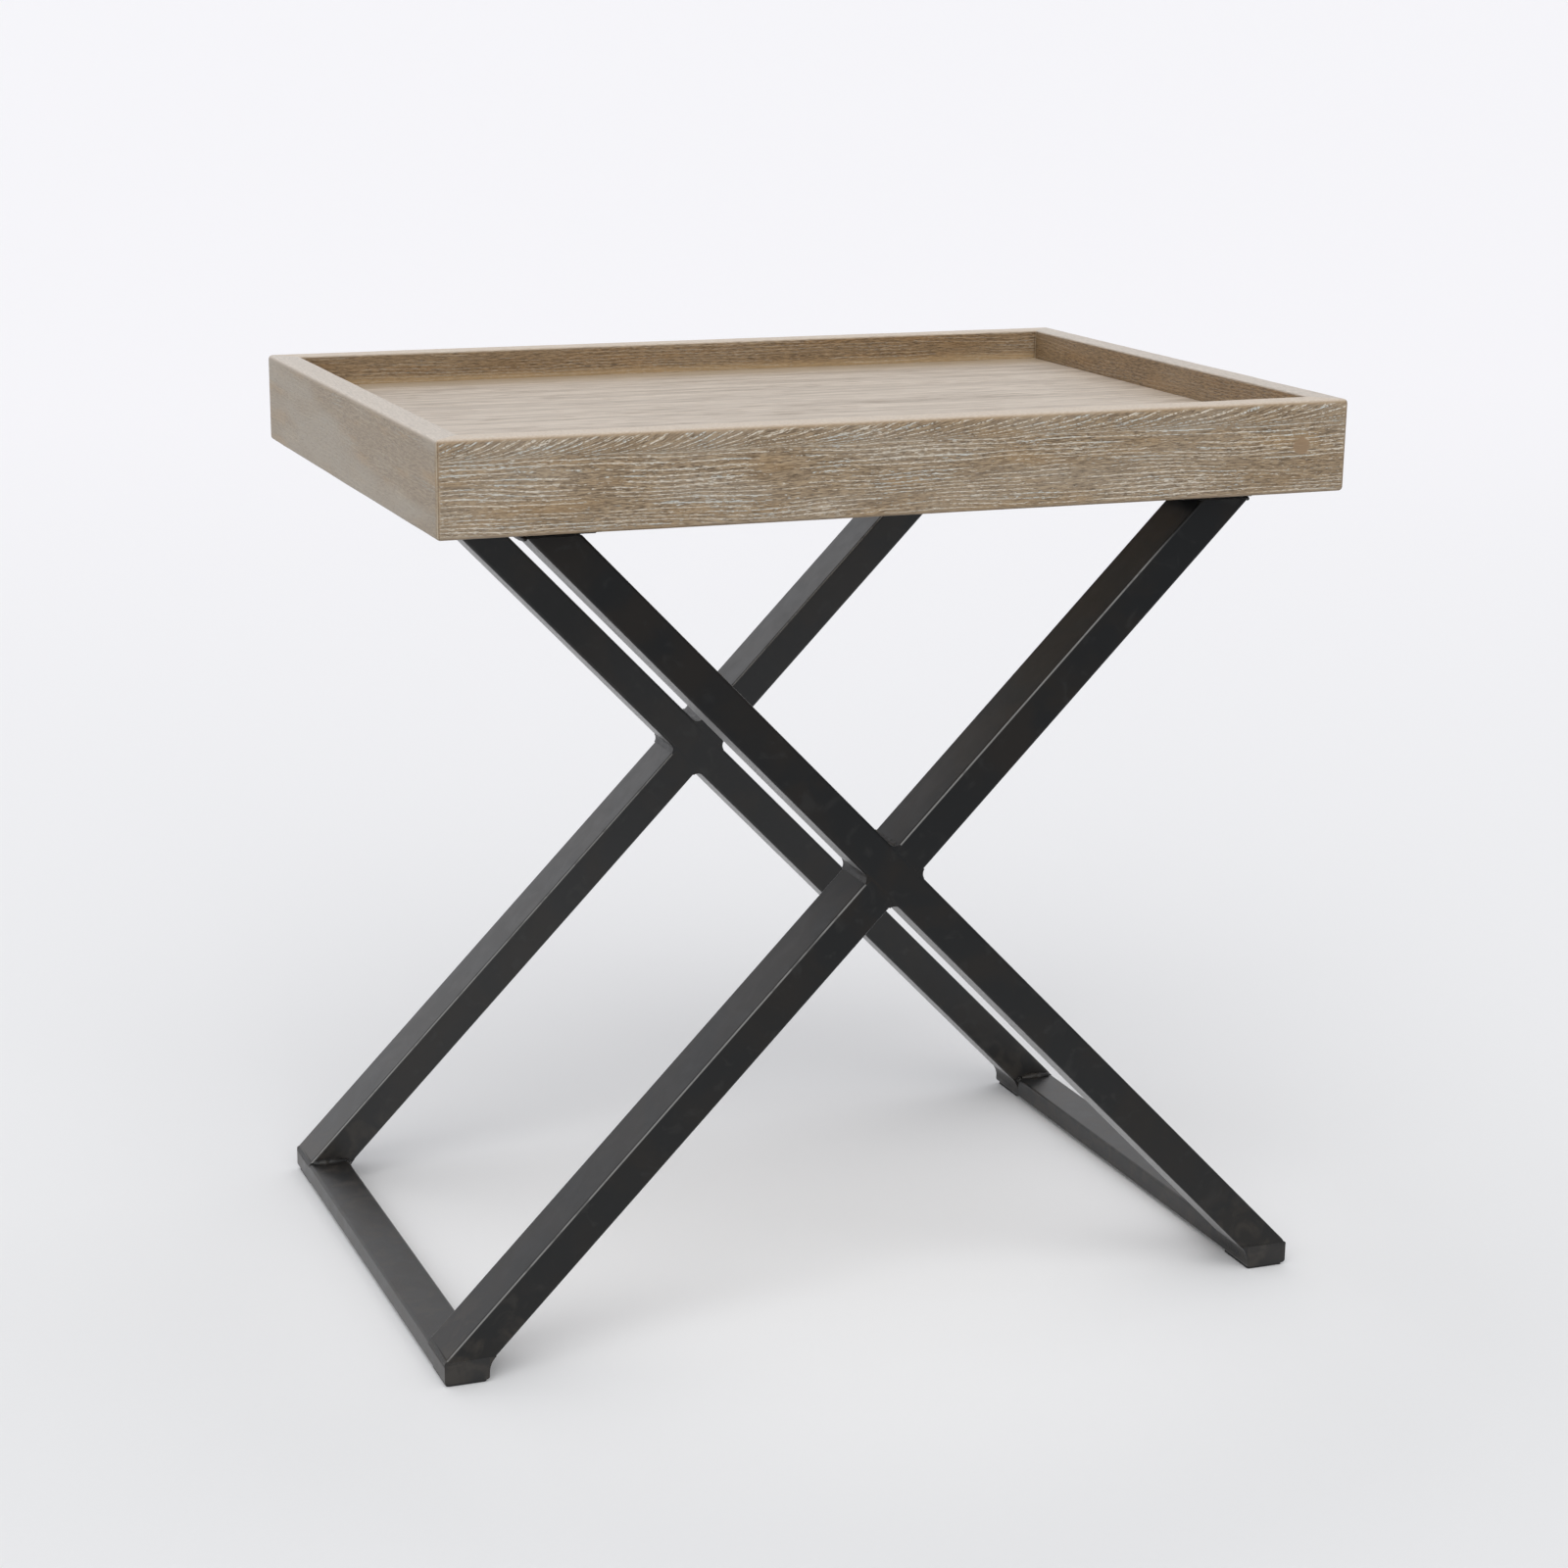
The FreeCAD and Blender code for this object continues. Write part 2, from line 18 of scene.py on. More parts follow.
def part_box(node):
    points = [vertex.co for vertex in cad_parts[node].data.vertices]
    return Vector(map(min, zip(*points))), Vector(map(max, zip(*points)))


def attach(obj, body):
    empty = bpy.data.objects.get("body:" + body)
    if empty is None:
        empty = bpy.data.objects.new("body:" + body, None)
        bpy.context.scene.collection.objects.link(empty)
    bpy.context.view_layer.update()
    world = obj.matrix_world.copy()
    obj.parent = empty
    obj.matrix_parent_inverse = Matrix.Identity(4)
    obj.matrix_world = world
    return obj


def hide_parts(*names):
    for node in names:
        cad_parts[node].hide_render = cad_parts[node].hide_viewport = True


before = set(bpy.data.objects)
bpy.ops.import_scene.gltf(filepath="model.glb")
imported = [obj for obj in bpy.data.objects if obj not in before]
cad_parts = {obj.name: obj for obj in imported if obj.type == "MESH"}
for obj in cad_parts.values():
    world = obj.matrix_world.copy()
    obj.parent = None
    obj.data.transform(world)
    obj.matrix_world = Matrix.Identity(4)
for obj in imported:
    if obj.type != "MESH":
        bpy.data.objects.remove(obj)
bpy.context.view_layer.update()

MM = 0.001
log = logging.getLogger("tray_table")

Colour = tuple[float, float, float]
Value = "Wire | float"


class Axis(Enum):
    """One axis of the shared frame."""

    X = 0
    Y = 1
    Z = 2


class Side(Enum):
    """A long end of the table, with its sign along X."""

    LEFT = -1
    RIGHT = 1


class End(Enum):
    """The front or the rear of the table, with its sign along Y."""

    FRONT = -1
    REAR = 1


class Slot(Enum):
    """Names of material slots, passed along with the modelled pieces."""

    BOARDS = "oak_boards"
    PANEL = "oak_panel"
    SOFTWOOD = "softwood"
    STEEL = "blackened_steel"
    WELDS = "weld_beads"


# ------------------------------------------------------------------ shader sums


@dataclass(frozen=True)
class Wire:
    """One output socket, on which Python's operators add Math nodes."""

    graph: "Graph"
    socket: bpy.types.NodeSocket

    def sum_node(self, operation: str, *values: Value) -> "Wire":
        """Adds a Math node.

        Args:
            operation: the Math node's operation.
            values: its inputs, wires or numbers.

        Returns:
            The node's output.
        """
        return self.graph.node("ShaderNodeMath", {"operation": operation}, dict(enumerate(values)))

    def __add__(self, other: Value) -> "Wire":
        """self + other, and other + self."""
        return self.sum_node("ADD", self, other)

    __radd__ = __add__

    def __sub__(self, other: Value) -> "Wire":
        """self - other."""
        return self.sum_node("SUBTRACT", self, other)

    def __rsub__(self, other: Value) -> "Wire":
        """other - self."""
        return self.sum_node("SUBTRACT", other, self)

    def __mul__(self, other: Value) -> "Wire":
        """self * other, and other * self."""
        return self.sum_node("MULTIPLY", self, other)

    __rmul__ = __mul__

    def __truediv__(self, other: Value) -> "Wire":
        """self / other."""
        return self.sum_node("DIVIDE", self, other)

    def size(self) -> "Wire":
        """The value without its sign."""
        return self.sum_node("ABSOLUTE", self)

    def least(self, other: Value) -> "Wire":
        """The smaller of self and other."""
        return self.sum_node("MINIMUM", self, other)

    def most(self, other: Value) -> "Wire":
        """The larger of self and other."""
        return self.sum_node("MAXIMUM", self, other)

    def ramp(self, low: Value, high: Value) -> "Wire":
        """A smooth mask.

        Args:
            low: where the mask starts to leave 0.
            high: where it reaches 1.

        Returns:
            The mask, from 0 to 1.
        """
        return self.graph.node("ShaderNodeMapRange", {"interpolation_type": "SMOOTHSTEP"},
                               {"Value": self, "From Min": low, "From Max": high})


class Graph:
    """The node tree of one material, or of the room."""

    def __init__(self, name: str, shelf: bpy.types.bpy_prop_collection | None = None) -> None:
        """Makes an empty material, or what another shelf holds.

        Args:
            name: its name.
            shelf: the file's collection that it goes to, materials unless given.
        """
        self.material = (bpy.data.materials if shelf is None else shelf).new(name)
        self.material.use_nodes = True
        self.tree = self.material.node_tree
        self.tree.nodes.clear()

    def node(self, kind: str, settings: Mapping[str, object], inputs: Mapping[object, object],
             output: int = 0) -> Wire:
        """Adds any node.

        Args:
            kind: the node's type.
            settings: its settings, set before its inputs.
            inputs: wires or values for its sockets, by name or place.
            output: the place of the output that is used.

        Returns:
            That output.
        """
        node = self.tree.nodes.new(kind)
        for key, value in settings.items():
            setattr(node, key, value)
        for key, value in inputs.items():
            if isinstance(value, Wire):
                self.tree.links.new(value.socket, node.inputs[key])
            else:
                node.inputs[key].default_value = value
        return Wire(self, node.outputs[output])

    def place(self) -> tuple[Wire, Wire, Wire]:
        """The point's X, Y and Z in millimetres.

        Returns:
            The three values.
        """
        spot = self.node("ShaderNodeTexCoord", {}, {}, output=3)
        split = self.node("ShaderNodeSeparateXYZ", {}, {"Vector": spot})
        return tuple(Wire(self, output) * (1 / MM) for output in split.socket.node.outputs)

    def noise(self, along: Value, across: Value, deep: Value, detail: float = 1.0,
              distortion: float = 0.0) -> Wire:
        """Noise on a point given by three sums, with a mean of 0.5."""
        spot = self.node("ShaderNodeCombineXYZ", {}, {"X": along, "Y": across, "Z": deep})
        return self.node("ShaderNodeTexNoise", {}, {"Vector": spot, "Scale": 1.0, "Detail": detail,
                                                    "Distortion": distortion})

    def blend(self, share: Value, first: "Wire | Colour", second: "Wire | Colour") -> Wire:
        """A colour between two colours; share is how much of the second."""
        ends = {place: value if isinstance(value, Wire) else (*value, 1.0)
                for place, value in ((6, first), (7, second))}
        return self.node("ShaderNodeMix", {"data_type": "RGBA"}, {0: share, **ends}, output=2)

    def tint(self, share: Value, colour: Wire, stain: Colour) -> Wire:
        """A colour multiplied by a stain; share is how strong the stain is."""
        return self.node("ShaderNodeMix", {"data_type": "RGBA", "blend_type": "MULTIPLY"},
                         {0: share, 6: colour, 7: (*stain, 1.0)}, output=2)

    def bump(self, height: Wire, depth_mm: float, strength: float = 1.0) -> Wire:
        """A normal from a height of 0 to 1 that stands for depth_mm."""
        return self.node("ShaderNodeBump", {}, {"Height": height, "Distance": depth_mm * MM,
                                                "Strength": strength})

    def close(self, inputs: Mapping[str, object]) -> bpy.types.Material:
        """Ends the material with a Principled shader and hands it over."""
        self.node_out(self.node("ShaderNodeBsdfPrincipled", {}, inputs))
        return self.material

    def node_out(self, shader: Wire, kind: str = "ShaderNodeOutputMaterial") -> None:
        """Joins a shader to the material's output."""
        end = self.tree.nodes.new(kind)
        self.tree.links.new(shader.socket, end.inputs["Surface"])


# ------------------------------------------------------------------ finishes


@dataclass(frozen=True)
class Grain:
    """Masks that follow the grain of one board."""

    lime: Wire
    fibre: Wire
    dark: Wire

    def over(self, other: "Grain", share: Wire) -> "Grain":
        """These masks laid over another board's, where share is 1."""
        pairs = ((self.lime, other.lime), (self.fibre, other.fibre), (self.dark, other.dark))
        return Grain(*(under + (top - under) * share for top, under in pairs))


@dataclass(frozen=True)
class LimedOak:
    """Brushed oak with white lime in its open pores, under a matt lacquer."""

    name: str
    along: Axis
    seed: float
    dark: Colour = (0.160, 0.110, 0.064)
    light: Colour = (0.398, 0.298, 0.190)
    ochre: Colour = (0.390, 0.255, 0.125)
    cool: Colour = (0.385, 0.325, 0.252)
    cool_share: float = 0.35
    rubbed: Colour = (0.400, 0.285, 0.175)
    # painted light: the rim's top face is painted in these paler colours, mostly standing in for light from
    # above, partly for wear
    lit_rim_dark: Colour = (0.560, 0.465, 0.370)
    lit_rim_light: Colour = (0.700, 0.608, 0.505)
    cold_lime: Colour = (0.660, 0.700, 0.680)
    warm_lime: Colour = (0.730, 0.670, 0.570)
    lime_share: float = 0.85
    line_limit: float = 2.72
    pore_limit: float = 0.640
    streak_depth: float = 0.7
    # how strong the painted bounce light is: a warm band low on the inner faces, standing in for light thrown
    # back from the panel
    bounce_share: float = 0.0
    inside_tint: Colour = (0.84, 0.75, 0.62)
    # colour of that painted bounce light
    painted_bounce: Colour = (0.470, 0.330, 0.180)
    streak: Colour = (0.42, 0.38, 0.34)
    figured: bool = False
    plugged: bool = False

    ring_period = 2.7
    figure_depth = 16.0
    figure_slope = 0.42
    steep_slope = 0.34
    steep_start = -105.0
    plug_spot = (271.4, 579.1)
    plug_radius = 6.2
    plug_brown = (0.290, 0.195, 0.115)
    glue = (0.52, 0.45, 0.35)
    mitre_shade = (0.42, 0.36, 0.29)
    bottom_shade = (0.42, 0.38, 0.33)
    relief_mm = 0.14
    lacquer_ior = 1.48

    def make(self) -> bpy.types.Material:
        """Builds the material.

        Returns:
            The finished material.
        """
        g = Graph(self.name)
        place = g.place()
        along, deep, z = place[self.along.value], place[1 - self.along.value], place[2]
        wander = g.noise(along / 150, z / 34, deep / 90 + self.seed, 1.0) - 0.5
        ripple = g.noise(along / 26, z / 8, deep / 20 + self.seed) - 0.5
        grain = self.grain(g, along, z + wander * 13 + ripple * 1.6, z, deep, 0.16)
        if self.figured:
            lift = (z - (TRAY_TOP - self.figure_depth) + wander * 7) / self.figure_depth
            climb = lift.most(0.03).sum_node("LOGARITHM", lift.most(0.03), math.e)
            steep = (self.steep_start - along).most(0.0) * self.steep_slope
            rising = (climb * self.figure_depth - along * self.figure_slope + steep) * 0.52
            figure = self.grain(g, along, rising + ripple * 1.8, z, deep, 0.40, 0.42, (1.9, 1.2))
            grain = figure.over(grain, lift.ramp(0.02, 0.22))
        return self.dress(g, place, along, deep, grain)

    def grain(self, g: Graph, along: Wire, level: Wire, across: Wire, deep: Wire, broken: float,
              bold: float = 0.0, chop: tuple[float, float] = (2.4, 0.5)) -> Grain:
        """Grain that follows the lines of one level.

        Args:
            g: the material's graph.
            along: place along the grain.
            level: a value that is the same all along one grain line.
            across: place across the board.
            deep: place into the board.
            broken: how much the limed lines are broken up.
            bold: how much wider than usual they are.
            chop: how long and how wide the pieces of a broken line are, in mm.

        Returns:
            The masks.
        """
        shift = g.noise(along / 95, level / 11, deep / 30 + self.seed * 2) * 9
        ring = level * (2 * math.pi / (self.ring_period + bold * 2.4)) + shift
        crest = ring.sum_node("SINE", ring) * 0.5 + 0.5
        patch = g.noise(along / 75, level / 13, deep / 40 + self.seed + 3.1, 1.0)
        gaps = g.noise(along / 30, level / 2.4, deep / 2.4 + self.seed, 1.0)
        edge = g.noise(along / chop[0], across / chop[1], deep / 0.5 + self.seed, 1.0)
        room = gaps * 0.75 + patch * 0.85 + (edge - 0.5) * broken
        limit = (self.line_limit - bold - room * 2.4).most(0.84)
        solid = 0.30 - bold * 0.65
        lines = crest.ramp(limit, limit + 0.13) * (solid + edge.ramp(0.41, 0.57) * (1 - solid))
        pores = g.noise(along / 4.0, level / 0.48, deep / 0.50 + self.seed * 3, 1.0)
        dashes = (pores + (patch - 0.5) * 0.30 + (crest - 0.5) * 0.08).ramp(
            self.pore_limit, self.pore_limit + 0.05)
        fibre = g.noise(along / 7.0, level / 0.55, deep / 0.60 + self.seed + 20, 2.5)
        dark = g.noise(along / 4.5, level / 0.42 + 40, deep / 0.42 + self.seed, 1.0)
        return Grain(lines.most(dashes * 0.85), fibre, (dark - (crest - 0.5) * 0.06).ramp(0.55, 0.65))

    def dress(self, g: Graph, place: tuple[Wire, Wire, Wire], along: Wire, deep: Wire,
              grain: Grain) -> bpy.types.Material:
        """Turns the grain masks into colour, roughness and relief.

        Args:
            g: the material's graph.
            place: the point's three coordinates.
            along: place along the grain.
            deep: place into the board.
            grain: the masks.

        Returns:
            The finished material.
        """
        x, y, z = place
        arris, rim, inside = self.zones(x, y, z)
        blotch = g.noise(along / 60, z / 9, deep / 30 + self.seed, 2.0)
        cloud = g.noise(along / 110, z / 24, deep / 60 + self.seed + 9.0, 1.0)
        colour = g.blend(grain.fibre.ramp(0.32, 0.66), self.dark, self.light)
        colour = g.blend(blotch.ramp(0.50, 0.72) * 0.42, colour, self.ochre)
        colour = g.blend(cloud.ramp(0.40, 0.68) * self.cool_share, colour, self.cool)
        upper = z.ramp(TRAY_TOP - 9, TRAY_TOP - 4)
        colour = g.blend(arris * (upper * 0.55 + 0.1), colour, self.rubbed)
        smooth = 1 - arris
        if self.plugged:
            plug = self.plug(g, x, z)
            smooth = smooth * (1 - plug)
            colour = g.blend(plug * 0.8, colour, self.plug_brown)
        colour = g.tint(grain.dark * (smooth * self.streak_depth), colour, self.streak)
        # the faces round the well are tinted darker and warmer
        colour = g.tint(inside, colour, self.inside_tint)
        # painted light: a warm band low on the inner faces, standing in for light thrown back from the panel
        colour = g.blend(inside * (1 - z.ramp(587.5, 594.0)) * self.bounce_share, colour, self.painted_bounce)
        # painted light: the rim's top face is painted paler, mostly as lit from above and partly as worn
        worn = g.blend(grain.fibre.ramp(0.30, 0.70), self.lit_rim_dark, self.lit_rim_light)
        colour = g.blend(rim * 0.9, colour, worn)
        lime = grain.lime * smooth * (1 - rim * 0.8) * (1 - inside * 0.7)
        tone = g.noise(along / 40, z / 7, self.seed + 5.0).ramp(0.50, 0.66)
        colour = g.blend(lime * self.lime_share, colour, g.blend(tone, self.warm_lime, self.cold_lime))
        colour = self.joint(g, place, rim, colour)
        colour = g.tint((1 - z.ramp(TRAY_TOP - 60.4, TRAY_TOP - 57.6)) * 0.75, colour, self.bottom_shade)
        height = 1 - lime * 0.7 - grain.dark * smooth * 0.5 + grain.fibre * 0.3
        return g.close({"Base Color": colour, "Roughness": 0.44 + lime * 0.25 + grain.fibre * 0.10,
                        "Normal": g.bump(height, self.relief_mm), "IOR": self.lacquer_ior})

    def plug(self, g: Graph, x: Wire, z: Wire) -> Wire:
        """The filled hole at the right of the front board.

        Args:
            g: the material's graph.
            x: place along X.
            z: place along Z.

        Returns:
            The mask.
        """
        centre_x, centre_z = self.plug_spot
        over = (x - centre_x) * (x - centre_x) + (z - centre_z) * (z - centre_z)
        ragged = g.noise(x / 3, z / 3, self.seed) * 2.4
        return 1 - (over.sum_node("SQRT", over) + ragged).ramp(self.plug_radius, self.plug_radius + 1.6)

    def joint(self, g: Graph, place: tuple[Wire, Wire, Wire], rim: Wire, colour: Wire) -> Wire:
        """Draws the glue and the shade along the mitres.

        Args:
            g: the material's graph.
            place: the point's three coordinates.
            rim: the mask of the rim's top face, which stays clean.
            colour: the board's colour so far.

        Returns:
            The colour with the mitres drawn.
        """
        x, y, z = place
        wander = g.noise(z / 9, self.seed, 0.0) * 0.5 - 0.25
        off = (x.size() - y.size() - MITRE_LEVEL) * math.sqrt(0.5) + wander
        patchy = g.noise(z / 14, self.seed + 2.0, 0.0).ramp(0.30, 0.55) * (1 - rim)
        colour = g.blend((1 - (off - 0.1).size().ramp(0.10, 0.42)) * patchy * 0.6, colour, self.glue)
        return g.tint((1 - (off + 0.62).size().ramp(0.15, 0.5)) * (1 - rim) * 0.55, colour, self.mitre_shade)

    def zones(self, x: Wire, y: Wire, z: Wire) -> tuple[Wire, Wire, Wire]:
        """Masks of the rubbed edges, of the rim's top face and of the faces round the well.

        Args:
            x: place along X.
            y: place along Y.
            z: place along Z.

        Returns:
            The three masks.
        """
        half_x, half_y = TRAY_HALF
        ends = half_x - x.size()
        sides = half_y - y.size()
        flats = 30 - (z - (TRAY_TOP - 30)).size()
        second = ends.least(sides).most(ends.most(sides).least(flats))
        rim = z.ramp(TRAY_TOP - 2.0, TRAY_TOP - 0.3)
        return 1 - second.ramp(1.4, 3.4), rim, ends.least(sides).ramp(15.0, 17.5) * (1 - rim)


@dataclass(frozen=True)
class PanelOak:
    """Pale limed oak veneer with fine streaks along X."""

    name: str
    seed: float
    dark: Colour = (0.330, 0.270, 0.210)
    light: Colour = (0.665, 0.575, 0.478)
    pale: Colour = (0.760, 0.682, 0.605)
    # colour of the painted shade toward the back board
    tan: Colour = (0.430, 0.325, 0.200)

    def make(self) -> bpy.types.Material:
        """Builds the material.

        Returns:
            The finished material.
        """
        g = Graph(self.name)
        x, y, z = g.place()
        wander = g.noise(x / 240, y / 50, self.seed, 2.0) - 0.5
        level = y + wander * 15
        fibre = g.noise(x / 38, level / 0.9, z / 4 + self.seed, 3.0)
        band = g.noise(x / 240, level / 8, self.seed + 4, 2.0)
        patch = g.noise(x / 150, level / 30, self.seed + 8, 1.0)
        front = 1 - y.ramp(-200, -90)
        streaks = (g.noise(x / 24, level / 1.25, z / 3 + self.seed, 1.5) + (patch - 0.5) * 0.25
                   + front * 0.03).ramp(0.58, 0.70)
        lime = g.noise(x / 20, level / 1.1 + 60, z / 3 + self.seed, 1.5).ramp(0.60, 0.72)
        colour = g.blend(fibre.ramp(0.34, 0.66) * 0.65 + band.ramp(0.36, 0.64) * 0.35, self.dark, self.light)
        colour = g.blend(front * 0.45 + lime * 0.3, colour, self.pale)
        colour = g.tint(streaks * 0.72, colour, (0.56, 0.52, 0.49))
        # painted shade: the panel darkens to tan toward the back board, where its shadow falls
        colour = g.blend(y.ramp(TRAY_HALF[1] - 70, TRAY_HALF[1] - 19) * 0.6, colour, self.tan)
        height = 1 - streaks * 0.6 + fibre * 0.3
        return g.close({"Base Color": colour, "Roughness": 0.42 + streaks * 0.2 + fibre * 0.08,
                        "Normal": g.bump(height, 0.09), "IOR": 1.48})


@dataclass(frozen=True)
class BlackSteel:
    """Blackened mild steel under a satin wax, mottled by mill scale and handling, with painted light: paler
    toward the floor, darker up under the tray, and painted highlights on the arrises that catch the light.
    """

    name: str
    seed: float
    cold: Colour = (0.0055, 0.0062, 0.0070)
    warm: Colour = (0.0105, 0.0085, 0.0070)
    pale: Colour = (0.020, 0.020, 0.0195)
    scorch: Colour = (0.040, 0.034, 0.028)
    sheen: float = 0.36
    sheen_roughness: float = 0.20
    roughness: float = 0.34
    relief_mm: float = 0.05
    ior: float = 1.42
    bead: bool = False
    # painted highlight: colour and place of the arrises that catch the light, drawn as bright rubbed steel,
    # partly wear
    rub_highlight: Colour = (0.190, 0.188, 0.183)
    rub_highlight_at: tuple[float, float, float] | None = None

    seam_level = 17.2
    seam_shade = (0.15, 0.15, 0.15)

    def make(self) -> bpy.types.Material:
        """Builds the material.

        Returns:
            The finished material.
        """
        g = Graph(self.name)
        place = g.place()
        x, y, z = (value + self.seed * 100 for value in place)
        level = place[2]
        cloud = g.noise(x / 46, y / 46, z / 46, 3.0, 0.6)
        stain = g.noise(x / 15, y / 15, z / 15, 4.0, 0.8)
        grit = g.noise(x / 0.9, y / 0.9, z / 0.9, 2.0)
        dent = g.noise(x / 24, y / 24, z / 24, 1.0)
        colour = g.blend(cloud.ramp(0.38, 0.62), self.cold, self.warm)
        # pale patches of scale, plus painted light: the steel is painted paler toward the floor and darker up
        # under the tray
        colour = g.blend((stain.ramp(0.56, 0.72) + level.ramp(560, -160)) * 0.5, colour, self.pale)
        heat = (1 - level.ramp(20, 75)) * stain.ramp(0.42, 0.62) * (1 - level.ramp(480, 490))
        colour = g.blend(heat * 0.6, colour, self.scorch)
        seam = 1 - (level - self.seam_level + (dent - 0.5) * 6).size().ramp(0.3, 1.3)
        broken = grit.ramp(0.40, 0.55) * cloud.ramp(0.48, 0.56)
        colour = g.tint(seam * broken * 0.6, colour, self.seam_shade)
        # painted highlight: the arrises that catch the light are painted as bright rubbed steel, partly wear
        # and mostly painted light
        if self.rub_highlight_at is not None:
            colour = g.blend(self.edges(place, stain), colour, self.rub_highlight)
        rough = self.roughness + (stain - 0.5) * 0.22 + grit * 0.06
        height = grit * 0.35 + dent * 2.0
        if self.bead:
            height = height + g.noise(x / 1.6, y / 1.6, z / 1.6, 2.0) * 4.0
            rough = rough + 0.05
        return g.close({"Base Color": colour, "Roughness": rough, "Normal": g.bump(height, self.relief_mm),
                        "IOR": self.ior, "Sheen Weight": self.sheen,
                        "Sheen Roughness": self.sheen_roughness})

    def edges(self, place: tuple[Wire, Wire, Wire], stain: Wire) -> Wire:
        """Painted highlight on the upper edges of the legs that rise to the right, which catch the light,
        drawn as bright rubbed steel: partly wear, mostly painted light.

        Args:
            place: the point's three coordinates.
            stain: a cloudy value that thins the painted highlight out.

        Returns:
            The mask.
        """
        x, y, z = place
        frame_y, crossing_z, angle = self.rub_highlight_at
        above = (z - crossing_z) * math.cos(angle) - x * math.sin(angle)
        beyond = (y - frame_y).size()
        depth = above - LEG_HALF[0] + beyond - LEG_HALF[1]
        return depth.ramp(-1.42, -1.22) * (1 - z.ramp(500, 528)) * (1 - stain.ramp(0.52, 0.70) * 0.5)


@dataclass(frozen=True)
class PlanedPine:
    """Planed softwood without a finish, for the pieces under the tray."""

    name: str
    along: Axis
    seed: float
    early: Colour = (0.62, 0.44, 0.25)
    late: Colour = (0.43, 0.25, 0.11)

    def make(self) -> bpy.types.Material:
        """Builds the material.

        Returns:
            The finished material.
        """
        g = Graph(self.name)
        place = g.place()
        along = place[self.along.value]
        across, deep = (place[axis.value] for axis in Axis if axis is not self.along)
        bend = g.noise(along / 190, across / 60, deep / 60 + self.seed, 2.0) * 26
        ring = (across * 0.8 + deep * 0.5 + bend) * (2 * math.pi / 4.2)
        late = (ring.sum_node("SINE", ring) * 0.5 + 0.5).ramp(0.35, 1.0)
        fibre = g.noise(along / 40, across / 0.6, deep / 0.6 + self.seed, 2.0)
        colour = g.blend(late * 0.7 + fibre * 0.25, self.early, self.late)
        return g.close({"Base Color": colour, "Roughness": 0.55 + fibre * 0.2,
                        "Normal": g.bump(fibre + late * 0.4, 0.06)})


@dataclass(frozen=True)
class Plain:
    """A fine-grained plain finish, for the rubber of the floor pads."""

    name: str
    base: Colour
    spread: float
    size_mm: float
    roughness: float
    relief_mm: float

    def make(self) -> bpy.types.Material:
        """Builds the material.

        Returns:
            The finished material.
        """
        g = Graph(self.name)
        x, y, z = (value / self.size_mm for value in g.place())
        speck = g.noise(x, y, z, 3.0)
        dark = tuple(channel * (1 - self.spread) for channel in self.base)
        return g.close({"Base Color": g.blend(speck, dark, self.base),
                        "Roughness": self.roughness + speck * 0.1,
                        "Normal": g.bump(speck, self.relief_mm)})


# ------------------------------------------------------------------ modelling



